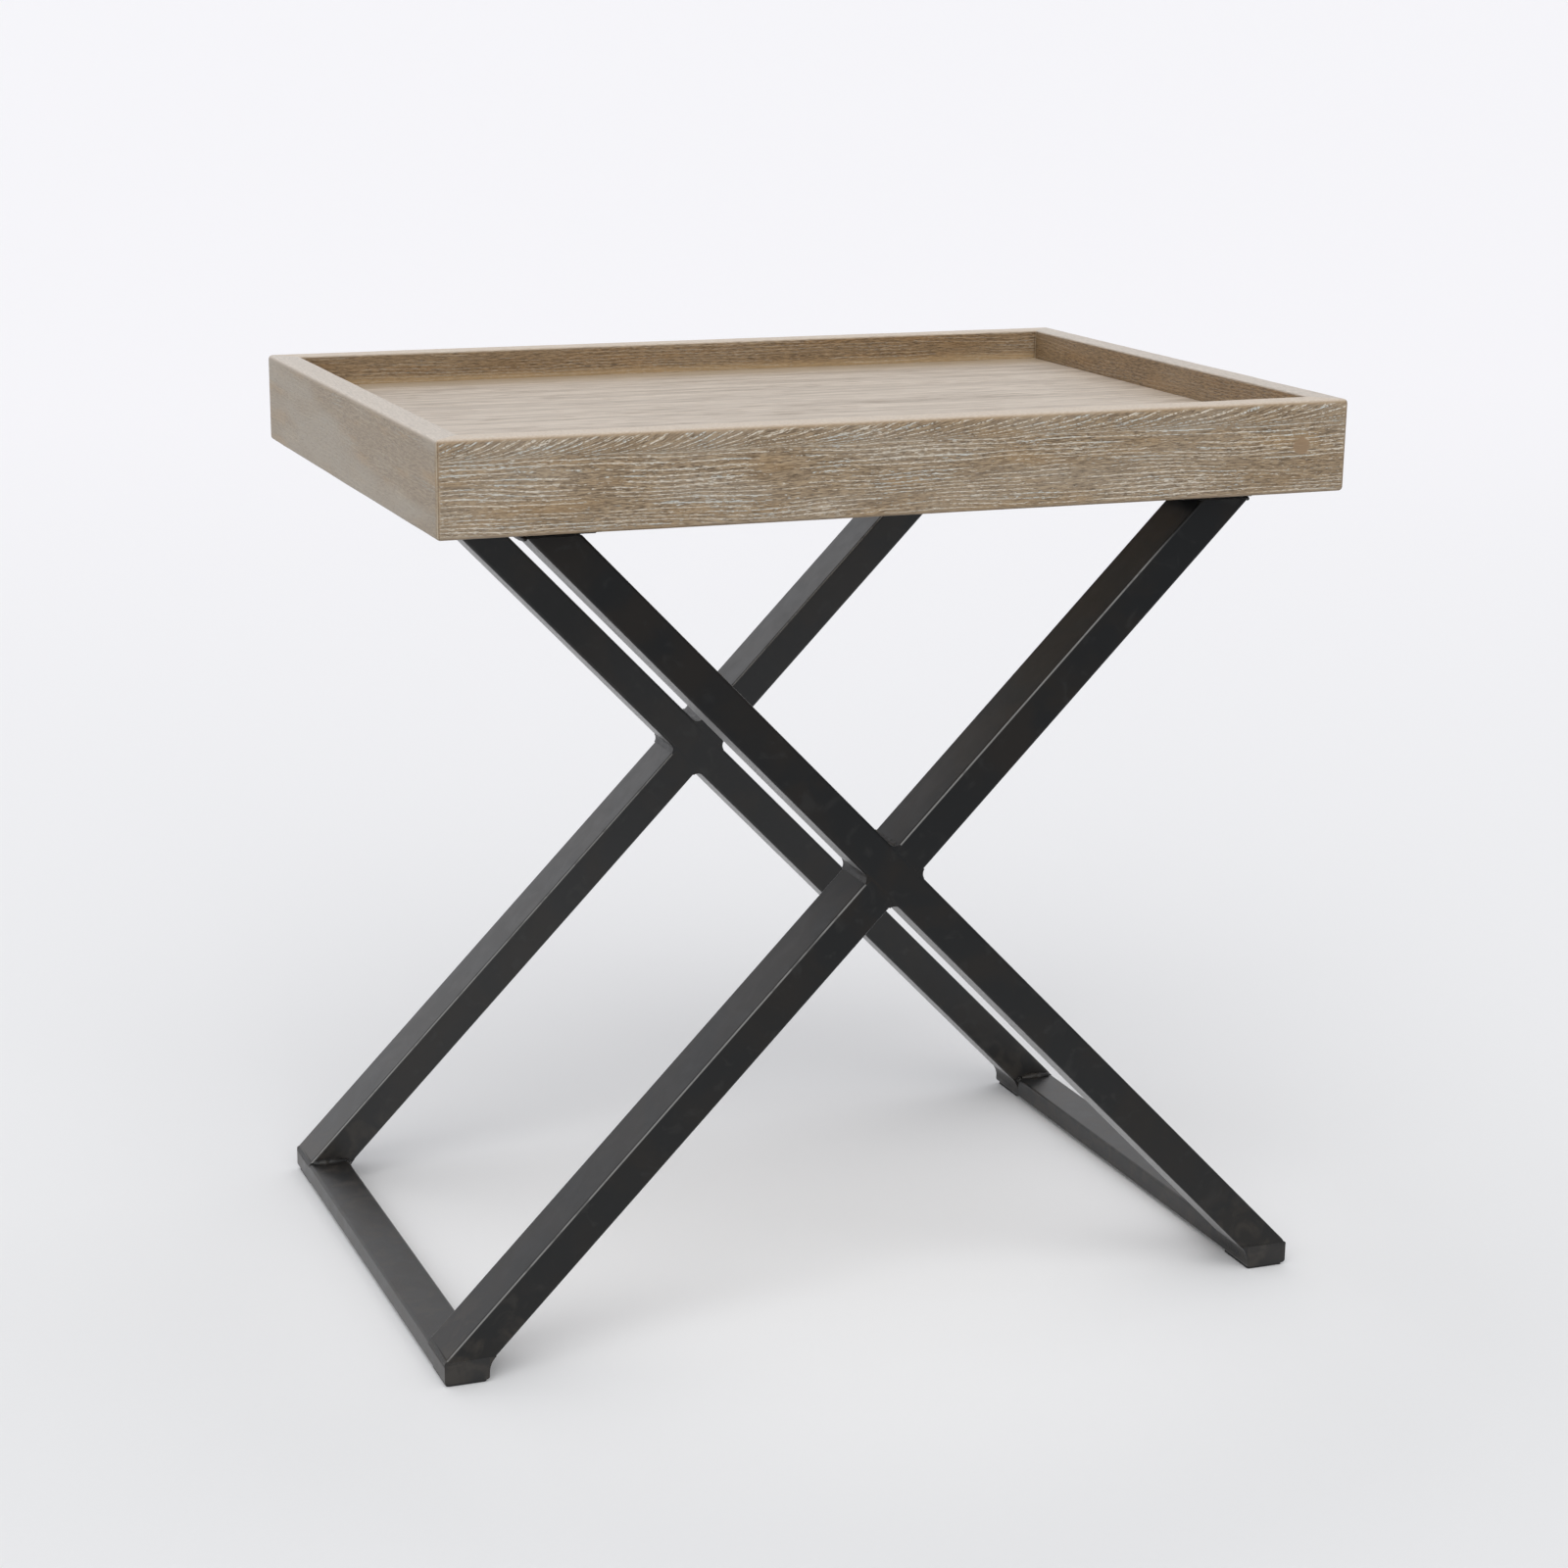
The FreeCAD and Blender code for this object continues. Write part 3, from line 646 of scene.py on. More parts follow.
class Workpiece:
    """A mesh that is shaped in edit mode, as by hand."""

    def __init__(self, thing: bpy.types.Object) -> None:
        """Takes an object onto the bench."""
        self.thing = thing

    @classmethod
    def start(cls, name: str, add: Callable[..., object], scale: Sequence[float] = (1, 1, 1),
              **settings: object) -> "Workpiece":
        """Adds a primitive and puts its place into its mesh.

        Args:
            name: the piece's name.
            add: the operator that adds the primitive.
            scale: how much it is stretched along each axis before it is turned.
            settings: the operator's settings.

        Returns:
            The new workpiece.
        """
        bpy.ops.object.select_all(action="DESELECT")
        add(**settings)
        thing = bpy.context.object
        thing.scale = scale
        thing.name = thing.data.name = name
        bpy.ops.object.transform_apply(location=True, rotation=True, scale=True)
        return cls(thing)

    @classmethod
    def cut(cls, name: str, centre: Sequence[float], size: Sequence[float],
            turn: Sequence[float] = (0, 0, 0)) -> "Workpiece":
        """A block with a centre and a size, turned about X, Y and Z."""
        return cls.start(name, bpy.ops.mesh.primitive_cube_add, size, size=1.0, location=centre,
                         rotation=turn)

    @classmethod
    def block(cls, name: str, corner: Sequence[float], opposite: Sequence[float]) -> "Workpiece":
        """A block between two opposite corners."""
        size = [abs(far - near) for near, far in zip(corner, opposite)]
        return cls.cut(name, (Vector(corner) + Vector(opposite)) / 2, size)

    def copy(self, name: str) -> "Workpiece":
        """A copy with a mesh of its own.

        Args:
            name: the copy's name.

        Returns:
            The copy.
        """
        twin = self.thing.copy()
        twin.data = self.thing.data.copy()
        twin.name = twin.data.name = name
        bpy.context.scene.collection.objects.link(twin)
        return Workpiece(twin)

    def take(self, *others: "Workpiece") -> None:
        """Selects this object, and others with it, and makes it the active one."""
        bpy.ops.object.select_all(action="DESELECT")
        for workpiece in (*others, self):
            workpiece.thing.select_set(True)
        bpy.context.view_layer.objects.active = self.thing

    @contextmanager
    def picked(self, kind: str, test: Callable[..., bool] | None = None) -> Iterator[bmesh.types.BMesh]:
        """Edit mode with some of the edges or faces picked.

        Args:
            kind: VERT, EDGE or FACE.
            test: tells which edges or faces are picked. Without it, none are.

        Yields:
            The mesh that is being edited.
        """
        self.take()
        bpy.ops.object.mode_set(mode="EDIT")
        bpy.ops.mesh.select_mode(type=kind)
        bpy.ops.mesh.select_all(action="DESELECT")
        mesh = bmesh.from_edit_mesh(self.thing.data)
        if test is not None:
            for element in (mesh.edges if kind == "EDGE" else mesh.faces):
                if test(element):
                    element.select_set(True)
        bmesh.update_edit_mesh(self.thing.data)
        yield mesh
        bmesh.update_edit_mesh(self.thing.data)
        bpy.ops.object.mode_set(mode="OBJECT")

    def bevel(self, test: Callable[[bmesh.types.BMEdge], bool], width: float, segments: int,
              profile: float = 0.5) -> None:
        """Bevels the edges for which test is true."""
        with self.picked("EDGE", test):
            bpy.ops.mesh.bevel(offset=width, segments=segments, profile=profile, affect="EDGES",
                               clamp_overlap=True)

    def divide(self, test: Callable[[bmesh.types.BMEdge], bool], cuts: int) -> None:
        """Divides the edges for which test is true."""
        with self.picked("EDGE", test):
            bpy.ops.mesh.subdivide(number_cuts=cuts, quadcorner="INNERVERT")

    def saw(self, spot: Sequence[float], outward: Sequence[float]) -> None:
        """Saws off what lies outward of a plane and closes the cut."""
        with self.picked("FACE", lambda face: True):
            bpy.ops.mesh.bisect(plane_co=spot, plane_no=outward, use_fill=True, clear_outer=True)

    def modify(self, kind: str, **settings: object) -> None:
        """Adds a modifier and applies it.

        Args:
            kind: the modifier's type.
            settings: its settings.
        """
        self.take()
        bpy.ops.object.modifier_add(type=kind)
        modifier = self.thing.modifiers[-1]
        for key, value in settings.items():
            setattr(modifier, key, value)
        bpy.ops.object.modifier_apply(modifier=modifier.name)

    def finish(self, material: bpy.types.Material, slot: Slot, *nodes: str, angle: float = 38.0) -> None:
        """Smooths, paints and hands over the piece.

        Args:
            material: its material.
            slot: not used.
            nodes: the nodes that it stands for.
            angle: how sharp an edge, in degrees, still shades as round.
        """
        self.take()
        bpy.ops.object.shade_smooth_by_angle(angle=math.radians(angle))
        self.modify("WEIGHTED_NORMAL", keep_sharp=True, weight=60)
        self.thing.data.materials.clear()
        self.thing.data.materials.append(material)
        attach(self.thing, "root")
        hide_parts(*nodes)
        log.info("%s: %d faces", self.thing.name, len(self.thing.data.polygons))


def runs_along(edge: bmesh.types.BMEdge, axis: Axis, share: float = 0.999) -> bool:
    """Whether an edge runs along an axis."""
    run = edge.verts[1].co - edge.verts[0].co
    return abs(run[axis.value]) > share * run.length


def middle(edge: bmesh.types.BMEdge) -> Vector:
    """An edge's middle."""
    return (edge.verts[0].co + edge.verts[1].co) / 2


TRAY_LOW, TRAY_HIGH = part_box("tray_board_left")[0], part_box("tray_board_right")[1]
BOARDS_LOW = Vector((TRAY_LOW.x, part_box("tray_board_front")[0].y, TRAY_LOW.z))
BOARDS_HIGH = Vector((TRAY_HIGH.x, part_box("tray_board_back")[1].y, TRAY_HIGH.z))
TRAY_HALF = (BOARDS_HIGH.x / MM, BOARDS_HIGH.y / MM)
LEG_HALF = (12.5, 20.0)
MITRE_LEVEL = TRAY_HALF[0] - TRAY_HALF[1]
TRAY_TOP = BOARDS_HIGH.z / MM
NEAR = 0.01 * MM


# ------------------------------------------------------------------ sub-assemblies


@dataclass
class Tray:
    """Four mitred boards round a panel, with battens and corner blocks below it."""

    thick: float = 19 * MM
    outer_round: float = 3 * MM
    inner_round: float = 1.2 * MM
    wear: float = 0.35 * MM
    joint_gap: float = 0.05 * MM
    segments: int = 5
    long_cuts: int = 70
    short_cuts: int = 50
    softwood_round: float = 0.8 * MM
    boards: dict[str, LimedOak] = field(default_factory=lambda: {
        "front": LimedOak("limed_oak_front", Axis.X, 1.7, figured=True, plugged=True),
        # the back board's inner face takes painted bounce light
        "back": LimedOak("limed_oak_back", Axis.X, 5.2, bounce_share=0.7),
        "left": LimedOak("limed_oak_left", Axis.Y, 8.4, cool_share=0.8, lime_share=0.26, streak_depth=0.3,
                         line_limit=2.90,
                         dark=(0.220, 0.168, 0.112), light=(0.338, 0.266, 0.182), rubbed=(0.38, 0.315, 0.25),
                         cool=(0.340, 0.296, 0.236),
                         # paler rim-top colours, painted as lit from above
                         lit_rim_dark=(0.50, 0.45, 0.39), lit_rim_light=(0.67, 0.60, 0.525)),
        "right": LimedOak("limed_oak_right", Axis.Y, 11.9, lime_share=0.6,
                          # paler rim-top colours, painted as lit from above
                          lit_rim_dark=(0.50, 0.45, 0.39), lit_rim_light=(0.67, 0.60, 0.53))})

    def build(self) -> None:
        """Makes every wooden piece."""
        ring = self.ring()
        for name, oak in self.boards.items():
            self.board(ring, name, oak)
        bpy.data.objects.remove(ring.thing)
        self.panel()
        self.underside()

    def ring(self) -> Workpiece:
        """The four boards as one rounded and worn ring.

        Returns:
            The ring.
        """
        ring = Workpiece.block("tray_ring", BOARDS_LOW, BOARDS_HIGH)
        with ring.picked("FACE", lambda face: abs(face.normal.z) > 0.9):
            bpy.ops.mesh.inset(thickness=self.thick, use_individual=True)
            bpy.ops.mesh.bridge_edge_loops()
        ring.bevel(self.on_outline, self.outer_round, self.segments)
        ring.bevel(self.round_well, self.inner_round, 3)
        ring.divide(lambda edge: runs_along(edge, Axis.X) and edge.calc_length() > 0.4, self.long_cuts)
        ring.divide(lambda edge: runs_along(edge, Axis.Y) and edge.calc_length() > 0.3, self.short_cuts)
        wear = bpy.data.textures.new("board_wear", "CLOUDS")
        wear.noise_scale = 0.045
        ring.modify("DISPLACE", texture=wear, strength=self.wear, mid_level=1.0, texture_coords="LOCAL")
        return ring

    def on_outline(self, edge: bmesh.types.BMEdge) -> bool:
        """Whether an edge joins two outer corners of the tray."""
        return all(abs(abs(vert.co[axis]) - BOARDS_HIGH[axis]) < NEAR
                   for vert in edge.verts for axis in (0, 1))

    def round_well(self, edge: bmesh.types.BMEdge) -> bool:
        """Whether an edge is level and goes round the well.

        Args:
            edge: the edge.

        Returns:
            Whether it does.
        """
        inner = (BOARDS_HIGH.x - self.thick, BOARDS_HIGH.y - self.thick)
        off_x, off_y = (abs(middle(edge)[axis]) - inner[axis] for axis in (0, 1))
        level = abs(edge.verts[0].co.z - edge.verts[1].co.z) < NEAR
        return level and ((abs(off_x) < NEAR and off_y < 0) or (abs(off_y) < NEAR and off_x < 0))

    def board(self, ring: Workpiece, name: str, oak: LimedOak) -> None:
        """Saws one board out of the ring at its two mitres.

        Args:
            ring: the four boards in one.
            name: front, back, left or right.
            oak: its finish.
        """
        board = ring.copy(f"tray_{name}_oak")
        level = MITRE_LEVEL * MM
        if name in ("front", "back"):
            way = 1 if name == "front" else -1
            planes = [(Vector((sign, way, 0)), level - self.joint_gap) for sign in (-1, 1)]
        else:
            way = -1 if name == "left" else 1
            planes = [(Vector((-way, sign, 0)), -level - self.joint_gap) for sign in (-1, 1)]
        for outward, limit in planes:
            board.saw(outward * limit / outward.length_squared, outward)
        board.finish(oak.make(), Slot.BOARDS, f"tray_board_{name}")

    def panel(self) -> None:
        """The panel: a field over a thinner tongue."""
        low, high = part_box("tray_panel")
        tongue_top = low.z + 6 * MM
        panel = Workpiece.block("tray_panel_oak", low, (high.x, high.y, tongue_top))
        inset = self.thick + 0.2 * MM - (BOARDS_HIGH.x - high.x)
        with panel.picked("FACE", lambda face: face.normal.z > 0.9):
            bpy.ops.mesh.inset(thickness=inset)
            bpy.ops.mesh.extrude_region_move(TRANSFORM_OT_translate={"value": (0, 0, high.z - tongue_top)})
        panel.bevel(lambda edge: min(vert.co.z for vert in edge.verts) > high.z - 1e-5, 0.3 * MM, 2)
        panel.finish(PanelOak("limed_oak_panel", 2.6).make(), Slot.PANEL, "tray_panel")

    def underside(self) -> None:
        """Battens and corner blocks in planed softwood."""
        batten_pine = PlanedPine("planed_pine_batten", Axis.Y, 3.0).make()
        block_pine = PlanedPine("planed_pine_block", Axis.X, 6.0).make()
        for side in Side:
            name = side.name.lower()
            batten = Workpiece.block(f"batten_{name}_pine", *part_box(f"batten_{name}"))
            batten.bevel(lambda edge: runs_along(edge, Axis.Y), self.softwood_round, 2)
            batten.finish(batten_pine, Slot.SOFTWOOD, f"batten_{name}")
            for end in End:
                self.corner_block(side, end, block_pine)

    def corner_block(self, side: Side, end: End, pine: bpy.types.Material) -> None:
        """One triangular block in a corner below the panel.

        Args:
            side: left or right.
            end: front or rear.
            pine: its material.
        """
        node = f"corner_block_{end.name.lower()}_{side.name.lower()}"
        low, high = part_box(node)
        block = Workpiece.block(f"{node}_pine", low, high)
        block.saw((low + high) / 2, (-side.value, -end.value, 0))
        block.bevel(lambda edge: not runs_along(edge, Axis.Z, 0.5), self.softwood_round, 2)
        block.finish(pine, Slot.SOFTWOOD, node)


@dataclass
class Weld:
    """A bead of weld metal, run between two points."""

    radius: float = 2.4 * MM
    pitch: float = 1.3 * MM
    sides: int = 12
    unevenness: float = 0.22
    bury: float = 2.6 * MM

    def lay(self, name: str, start: Vector, end: Vector, seed: int, flat: float = 1.0) -> Workpiece:
        """Lays a rippled bead with rounded ends.

        Args:
            name: the bead's name.
            start: where it starts.
            end: where it ends.
            seed: what makes its ripples its own.
            flat: how much of the radius the bead keeps.

        Returns:
            The bead.
        """
        chance = random.Random(seed)
        run = end - start
        rings = max(4, round(run.length / self.pitch))
        bead = Workpiece.start(name, bpy.ops.mesh.primitive_cylinder_add, vertices=self.sides,
                               radius=self.radius * flat, depth=run.length, location=(start + end) / 2,
                               rotation=run.to_track_quat("Z", "Y").to_euler())
        along = run.normalized()
        bead.divide(lambda edge: abs((edge.verts[1].co - edge.verts[0].co).normalized().dot(along)) > 0.99
                    and edge.calc_length() > run.length * 0.9, rings)
        with bead.picked("VERT") as mesh:
            groups: dict[int, list[bmesh.types.BMVert]] = {}
            for vert in mesh.verts:
                number = round((vert.co - start).dot(along) / run.length * (rings + 1))
                groups.setdefault(number, []).append(vert)
            for number, group in groups.items():
                taper = math.sin(math.pi * min(max(number / (rings + 1), 0.04), 0.96)) ** 0.35
                size = taper * (1 + self.unevenness * (chance.random() - 0.5) + 0.12 * (number % 2))
                slip = Vector((chance.random() - 0.5, chance.random() - 0.5, chance.random() - 0.5))
                centre = start + along * ((group[0].co - start).dot(along))
                for vert in group:
                    vert.co = centre + (vert.co - centre) * size + slip * self.radius * 0.16
        bead.modify("SUBSURF", levels=1, render_levels=1)
        return bead

    def fillet(self, name: str, low: Vector, high: Vector, hollow: Sequence[float], turn: float,
               seed: int) -> Workpiece:
        """Fills a corner along Y with a hollow face.

        Args:
            name: the fillet's name.
            low: the corner's front end.
            high: the corner's rear end.
            hollow: the reach of the fillet along both faces.
            turn: its turn about Y.
            seed: what makes its unevenness its own.

        Returns:
            The fillet.
        """
        reach_x, reach_z = hollow
        run = high.y - low.y
        body = Workpiece.block(name, (-self.bury, -run / 2, -self.bury), (reach_x, run / 2, reach_z))
        body.bevel(lambda edge: runs_along(edge, Axis.Y) and middle(edge).x > 0 and middle(edge).z > 0,
                   min(reach_x, reach_z) * 0.97, 6, 0.12)
        body.divide(lambda edge: runs_along(edge, Axis.Y), round(run / self.pitch / 2))
        chance = random.Random(seed)
        matrix = Matrix.Translation((low + high) / 2) @ Matrix.Rotation(turn, 4, "Y")
        with body.picked("VERT") as mesh:
            rows = {round(vert.co.y, 6): 0.0 for vert in mesh.verts}
            for row in rows:
                rows[row] = self.unevenness * (chance.random() - 0.4) * min(reach_x, reach_z) * 0.5
            for vert in mesh.verts:
                inner = vert.co.x > 0 and vert.co.z > 0
                near_end = abs(abs(vert.co.y) - run / 2) < self.pitch * 3
                if inner and not near_end:
                    vert.co += Vector((1, 0, 1)) * rows[round(vert.co.y, 6)] * 0.5
                vert.co = matrix @ vert.co
        return body


def hand_over_beads(name: str, beads: Sequence[Workpiece], material: bpy.types.Material, node: str) -> None:
    """Joins welds into one piece that stands for a node.

    Args:
        name: the piece's name.
        beads: its welds.
        material: their material.
        node: the node.
    """
    first, *others = beads
    first.take(*others)
    bpy.ops.object.join()
    first.thing.name = name
    first.finish(material, Slot.WELDS, node, angle=50)


def inner_face(low: Vector, high: Vector, end: End) -> float:
    """The Y of the face that a leg in the box from low to high turns to the other frame."""
    return high.y if end is End.FRONT else low.y


@dataclass
class CrossFrame:
    """One X: a whole leg, a leg in two lengths and the welds where they cross."""

    end: End
    width: float = 25 * MM
    angle: float = math.radians(45.69)
    tube_round: float = 2 * MM
    segments: int = 4
    crotch: float = 4.4 * MM
    foot_ease: float = 1.2 * MM
    weld: Weld = field(default_factory=Weld)

    def __post_init__(self) -> None:
        """Reads the frame's place from its nodes."""
        self.name = self.end.name.lower()
        # painted light: one steel in two copies, the front frame's reflecting less and the rear's more,
        # standing in for the different light on the two frames
        self.gloss = 1.33 if self.end is End.FRONT else 1.50
        self.low, self.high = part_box(f"long_leg_{self.name}")
        half_cut = self.width / math.sin(self.angle) / 2
        self.centre = Vector((0, (self.low.y + self.high.y) / 2,
                              self.low.z + (self.high.x - half_cut) * math.tan(self.angle)))

    def build(self) -> None:
        """Makes the three lengths of tube and the welds between them."""
        steel = BlackSteel(f"blackened_tube_{self.name}", 1.0, ior=self.gloss).make()
        # these halves' steel carries painted highlights on the arrises that catch the light, drawn as bright
        # rubbed edges, partly wear
        worn = BlackSteel(f"rubbed_tube_{self.name}", 1.0, ior=self.gloss,
                          rub_highlight_at=(self.centre.y / MM, self.centre.z / MM, self.angle)).make()
        whole = self.tube("long", 1)
        self.ease(whole, 1)
        whole.finish(steel, Slot.STEEL, f"long_leg_{self.name}")
        across = Vector((math.sin(self.angle), 0, math.cos(self.angle)))
        for part, sign in (("upper", 1), ("lower", -1)):
            half = self.tube(part, -1)
            half.saw(self.centre + across * sign * self.width / 2, -across * sign)
            if sign < 0:
                self.ease(half, -1)
            half.finish(worn, Slot.STEEL, f"{part}_leg_{self.name}")
        beads = BlackSteel(f"crossing_weld_{self.name}", 2.0, ior=self.gloss, bead=True).make()
        self.crossing(across, beads)

    def tube(self, part: str, fall: int) -> Workpiece:
        """A leg's tube from the floor rail through the crossing to the bar.

        Args:
            part: long, upper or lower.
            fall: 1 if it falls to the right, -1 if to the left.

        Returns:
            The tube.
        """
        length = (self.high.z - self.low.z) / math.sin(self.angle) * 1.3
        tube = Workpiece.cut(f"{part}_leg_{self.name}_tube", self.centre,
                             (length, self.high.y - self.low.y, self.width), (0, fall * self.angle, 0))
        tube.bevel(lambda edge: edge.calc_length() > length * 0.9, self.tube_round, self.segments)
        tube.saw((0, 0, self.low.z), (0, 0, -1))
        tube.saw((0, 0, self.high.z), (0, 0, 1))
        return tube

    def ease(self, leg: Workpiece, side: int) -> None:
        """Eases the corner of a leg's foot toward the upright, on the right (1) or the left (-1)."""
        outward = (side * math.cos(self.angle / 2), 0, math.sin(self.angle / 2))
        leg.saw((side * (self.high.x - self.foot_ease), 0, self.low.z), outward)

    def crossing(self, across: Vector, material: bpy.types.Material) -> None:
        """The fillets in the four corners, and the strips ground flush on both faces.

        Args:
            across: the whole leg's upward normal.
            material: the welds' material.
        """
        half_run = Vector((0, (self.high.y - self.low.y) / 2 - 0.15 * MM, 0))
        pieces = []
        for quarter in range(4):
            way = quarter * math.pi / 2
            reach = self.width / 2 / (math.sin(self.angle) if quarter % 2 else math.cos(self.angle))
            corner = self.centre + Vector((math.sin(way), 0, math.cos(way))) * reach
            pieces.append(self.weld.fillet(f"crossing_fillet_{quarter}", corner - half_run, corner + half_run,
                                           (self.crotch, self.crotch), way - math.pi / 4,
                                           quarter + 10 * self.end.value))
        joint = self.width / math.sin(2 * self.angle) + 1.6 * MM
        for sign in (-1, 1):
            for face, inward in ((self.low.y, 1), (self.high.y, -1)):
                spot = self.centre + across * sign * (self.width / 2 - self.tube_round * 0.45)
                spot.y = face + inward * self.tube_round * 0.55
                pieces.append(Workpiece.cut("crossing_strip", spot,
                                            (joint, self.tube_round * 1.06, self.tube_round * 2.4),
                                            (0, self.angle, 0)))
        hand_over_beads(f"crossing_weld_beads_{self.name}", pieces, material, f"crossing_welds_{self.name}")


@dataclass
class SideRun:
    """The floor rail and its caps, and the flat bar of one side, with their welds."""

    side: Side
    steel: bpy.types.Material
    welds: bpy.types.Material
    tube_round: float = 2 * MM
    cap_round: float = 0.5 * MM
    segments: int = 4
    bar_setback: float = 5 * MM
    bar_end_round: float = 2.5 * MM
    cove_drop: float = 11 * MM
    cove_reach: float = 4.6 * MM
    edge_size: float = 3.6 * MM
    edge_lift: float = 1.0 * MM
    edge_round: float = 2.6 * MM
    weld_inset: float = 0.1 * MM
    foot_bead_off: float = 1.1 * MM
    foot_bead_lift: float = 0.5 * MM
    bar_bead_off: float = 0.8 * MM
    bar_bead_drop: float = 0.6 * MM
    bar_bead_short: float = 1.5 * MM
    weld: Weld = field(default_factory=Weld)
    foot_weld: Weld = field(default_factory=lambda: Weld(radius=3.0 * MM, pitch=2.0 * MM, unevenness=0.3))

    def __post_init__(self) -> None:
        """Reads the rail's place from its node."""
        self.name = self.side.name.lower()
        self.low, self.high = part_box(f"floor_rail_{self.name}")
        edges = (self.low.x, self.high.x)
        self.outer, self.inner = edges if self.side is Side.LEFT else edges[::-1]

    def build(self) -> None:
        """Makes the side's pieces."""
        rail = Workpiece.block(f"floor_rail_{self.name}_tube", self.low, self.high)
        rail.bevel(lambda edge: runs_along(edge, Axis.Y), self.tube_round, self.segments)
        rail.finish(self.steel, Slot.STEEL, f"floor_rail_{self.name}")
        waist = (self.low.z + self.high.z) / 2
        for end in End:
            node = f"rail_cap_{end.name.lower()}_{self.name}"
            cap = Workpiece.block(f"{node}_plate", *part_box(node))
            cap.bevel(lambda edge: runs_along(edge, Axis.Y) and middle(edge).z < waist,
                      self.tube_round, self.segments)
            cap.bevel(lambda edge: runs_along(edge, Axis.Y) and middle(edge).z > waist, self.cap_round, 3)
            cap.finish(self.steel, Slot.STEEL, node)
        self.bar()
        self.feet()
        self.tops()

    def bar(self) -> None:
        """The flat bar under the tray, rounded below at its ends and sides."""
        node = f"top_bar_{self.name}"
        low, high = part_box(node)
        waist = (low.z + high.z) / 2
        short = Vector((0, self.bar_setback, 0))
        bar = Workpiece.block(f"{node}_flat", low + short, high - short)
        bar.bevel(lambda edge: runs_along(edge, Axis.X) and middle(edge).z < waist, self.bar_end_round, 4)
        bar.bevel(lambda edge: runs_along(edge, Axis.Y) and middle(edge).z < waist,
                  self.tube_round * 0.9, self.segments)
        bar.finish(self.steel, Slot.STEEL, node)

    def feet(self) -> None:
        """A bead behind each foot, a cove under its overhang and a ground edge outside it."""
        sign, top = self.side.value, self.high.z
        pieces = []
        for end in End:
            low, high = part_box(f"long_leg_{end.name.lower()}")
            bead_y = inner_face(low, high, end) - end.value * self.foot_bead_off
            start = Vector((self.outer - sign * 3.0 * MM, bead_y, top + self.foot_bead_lift))
            turn = Vector((self.inner + sign * 2.4 * MM, bead_y, top + self.foot_bead_lift))
            stop = Vector((self.inner - sign * 0.6 * MM, bead_y, top - 2.5 * MM))
            pieces.append(self.foot_weld.lay("foot_bead", start, turn, 31 + end.value))
            pieces.append(self.weld.lay("foot_bead_end", turn, stop, 51 + end.value, 0.9))
            pieces.append(self.cove(low.y, high.y))
            pieces.append(self.edge(low.y, high.y))
        hand_over_beads(f"foot_weld_beads_{self.name}", pieces, self.welds, f"foot_welds_{self.name}")

    def cove(self, front: float, back: float) -> Workpiece:
        """The hollow weld that leads a leg's overhang down into the rail's inner side.

        Args:
            front: the Y of the leg's front face.
            back: the Y of its back face.

        Returns:
            The weld.
        """
        out, top = -self.side.value * self.cove_reach, self.high.z
        cove = Workpiece.block("foot_cove", (self.inner, front + self.weld_inset, top),
                               (self.inner + out, back - self.weld_inset, top - self.cove_drop))
        cove.divide(lambda edge: runs_along(edge, Axis.Z), 10)
        with cove.picked("VERT") as mesh:
            for vert in mesh.verts:
                if abs(vert.co.x - self.inner) > self.cove_reach / 2:
                    fall = min(max((top - vert.co.z) / self.cove_drop, 0.0), 1.0)
                    vert.co.x = self.inner + out * max(self.hollow_share(fall), 0.02)
        cove.bevel(lambda edge: not runs_along(edge, Axis.Y) and abs(middle(edge).x - self.inner) > 0.06 * MM
                   and min(abs(middle(edge).y - face) for face in (front, back)) < 0.2 * MM
                   and edge.calc_length() < 4 * MM, 1.5 * MM, 3)
        return cove

    def hollow_share(self, fall: float) -> float:
        """How far out a cove still is, as a share of its reach.

        Args:
            fall: how far down it is, as a share of its drop.

        Returns:
            The share, one at the top and none at the bottom.
        """
        knee = self.cove_reach / self.cove_drop
        step = (-knee + math.sqrt(knee * knee + fall * (1 - 2 * knee))) / (1 - 2 * knee)
        return (1 - step) ** 2

    def edge(self, front: float, back: float) -> Workpiece:
        """The weld ground round where a leg's back runs into the rail's outer side.

        Args:
            front: the Y of the leg's front face.
            back: the Y of its back face.

        Returns:
            The weld.
        """
        size, top = self.edge_size, self.high.z + self.edge_lift
        edge = Workpiece.block("foot_edge", (self.outer, front + self.weld_inset, top),
                               (self.outer - self.side.value * size, back - self.weld_inset, top - size))
        edge.bevel(lambda side: runs_along(side, Axis.Y) and middle(side).z > self.high.z
                   and abs(middle(side).x - self.outer) < size / 2, self.edge_round, 5)
        return edge

    def tops(self) -> None:
        """The welds between the leg tops and the bar."""
        sign = self.side.value
        part = "long" if self.side is Side.LEFT else "upper"
        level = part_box(f"top_bar_{self.name}")[0].z - self.bar_bead_drop
        cut = CrossFrame.width / math.sin(CrossFrame.angle)
        short = self.bar_bead_short
        pieces = []
        for end in End:
            low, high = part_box(f"{part}_leg_{end.name.lower()}")
            outer = low.x if self.side is Side.LEFT else high.x
            bead_y = inner_face(low, high, end) - end.value * self.bar_bead_off
            pieces.append(self.weld.lay("top_bead", Vector((outer - sign * short, bead_y, level)),
                                        Vector((outer - sign * (cut - short), bead_y, level)),
                                        71 + end.value, 0.9))
            ledge = outer + sign * 0.6 * MM
            pieces.append(self.weld.lay("ledge_bead", Vector((ledge, low.y + 2.2 * MM, level)),
                                        Vector((ledge, high.y - 2.2 * MM, level)), 91 + end.value))
        hand_over_beads(f"bar_weld_beads_{self.name}", pieces, self.welds, f"bar_welds_{self.name}")


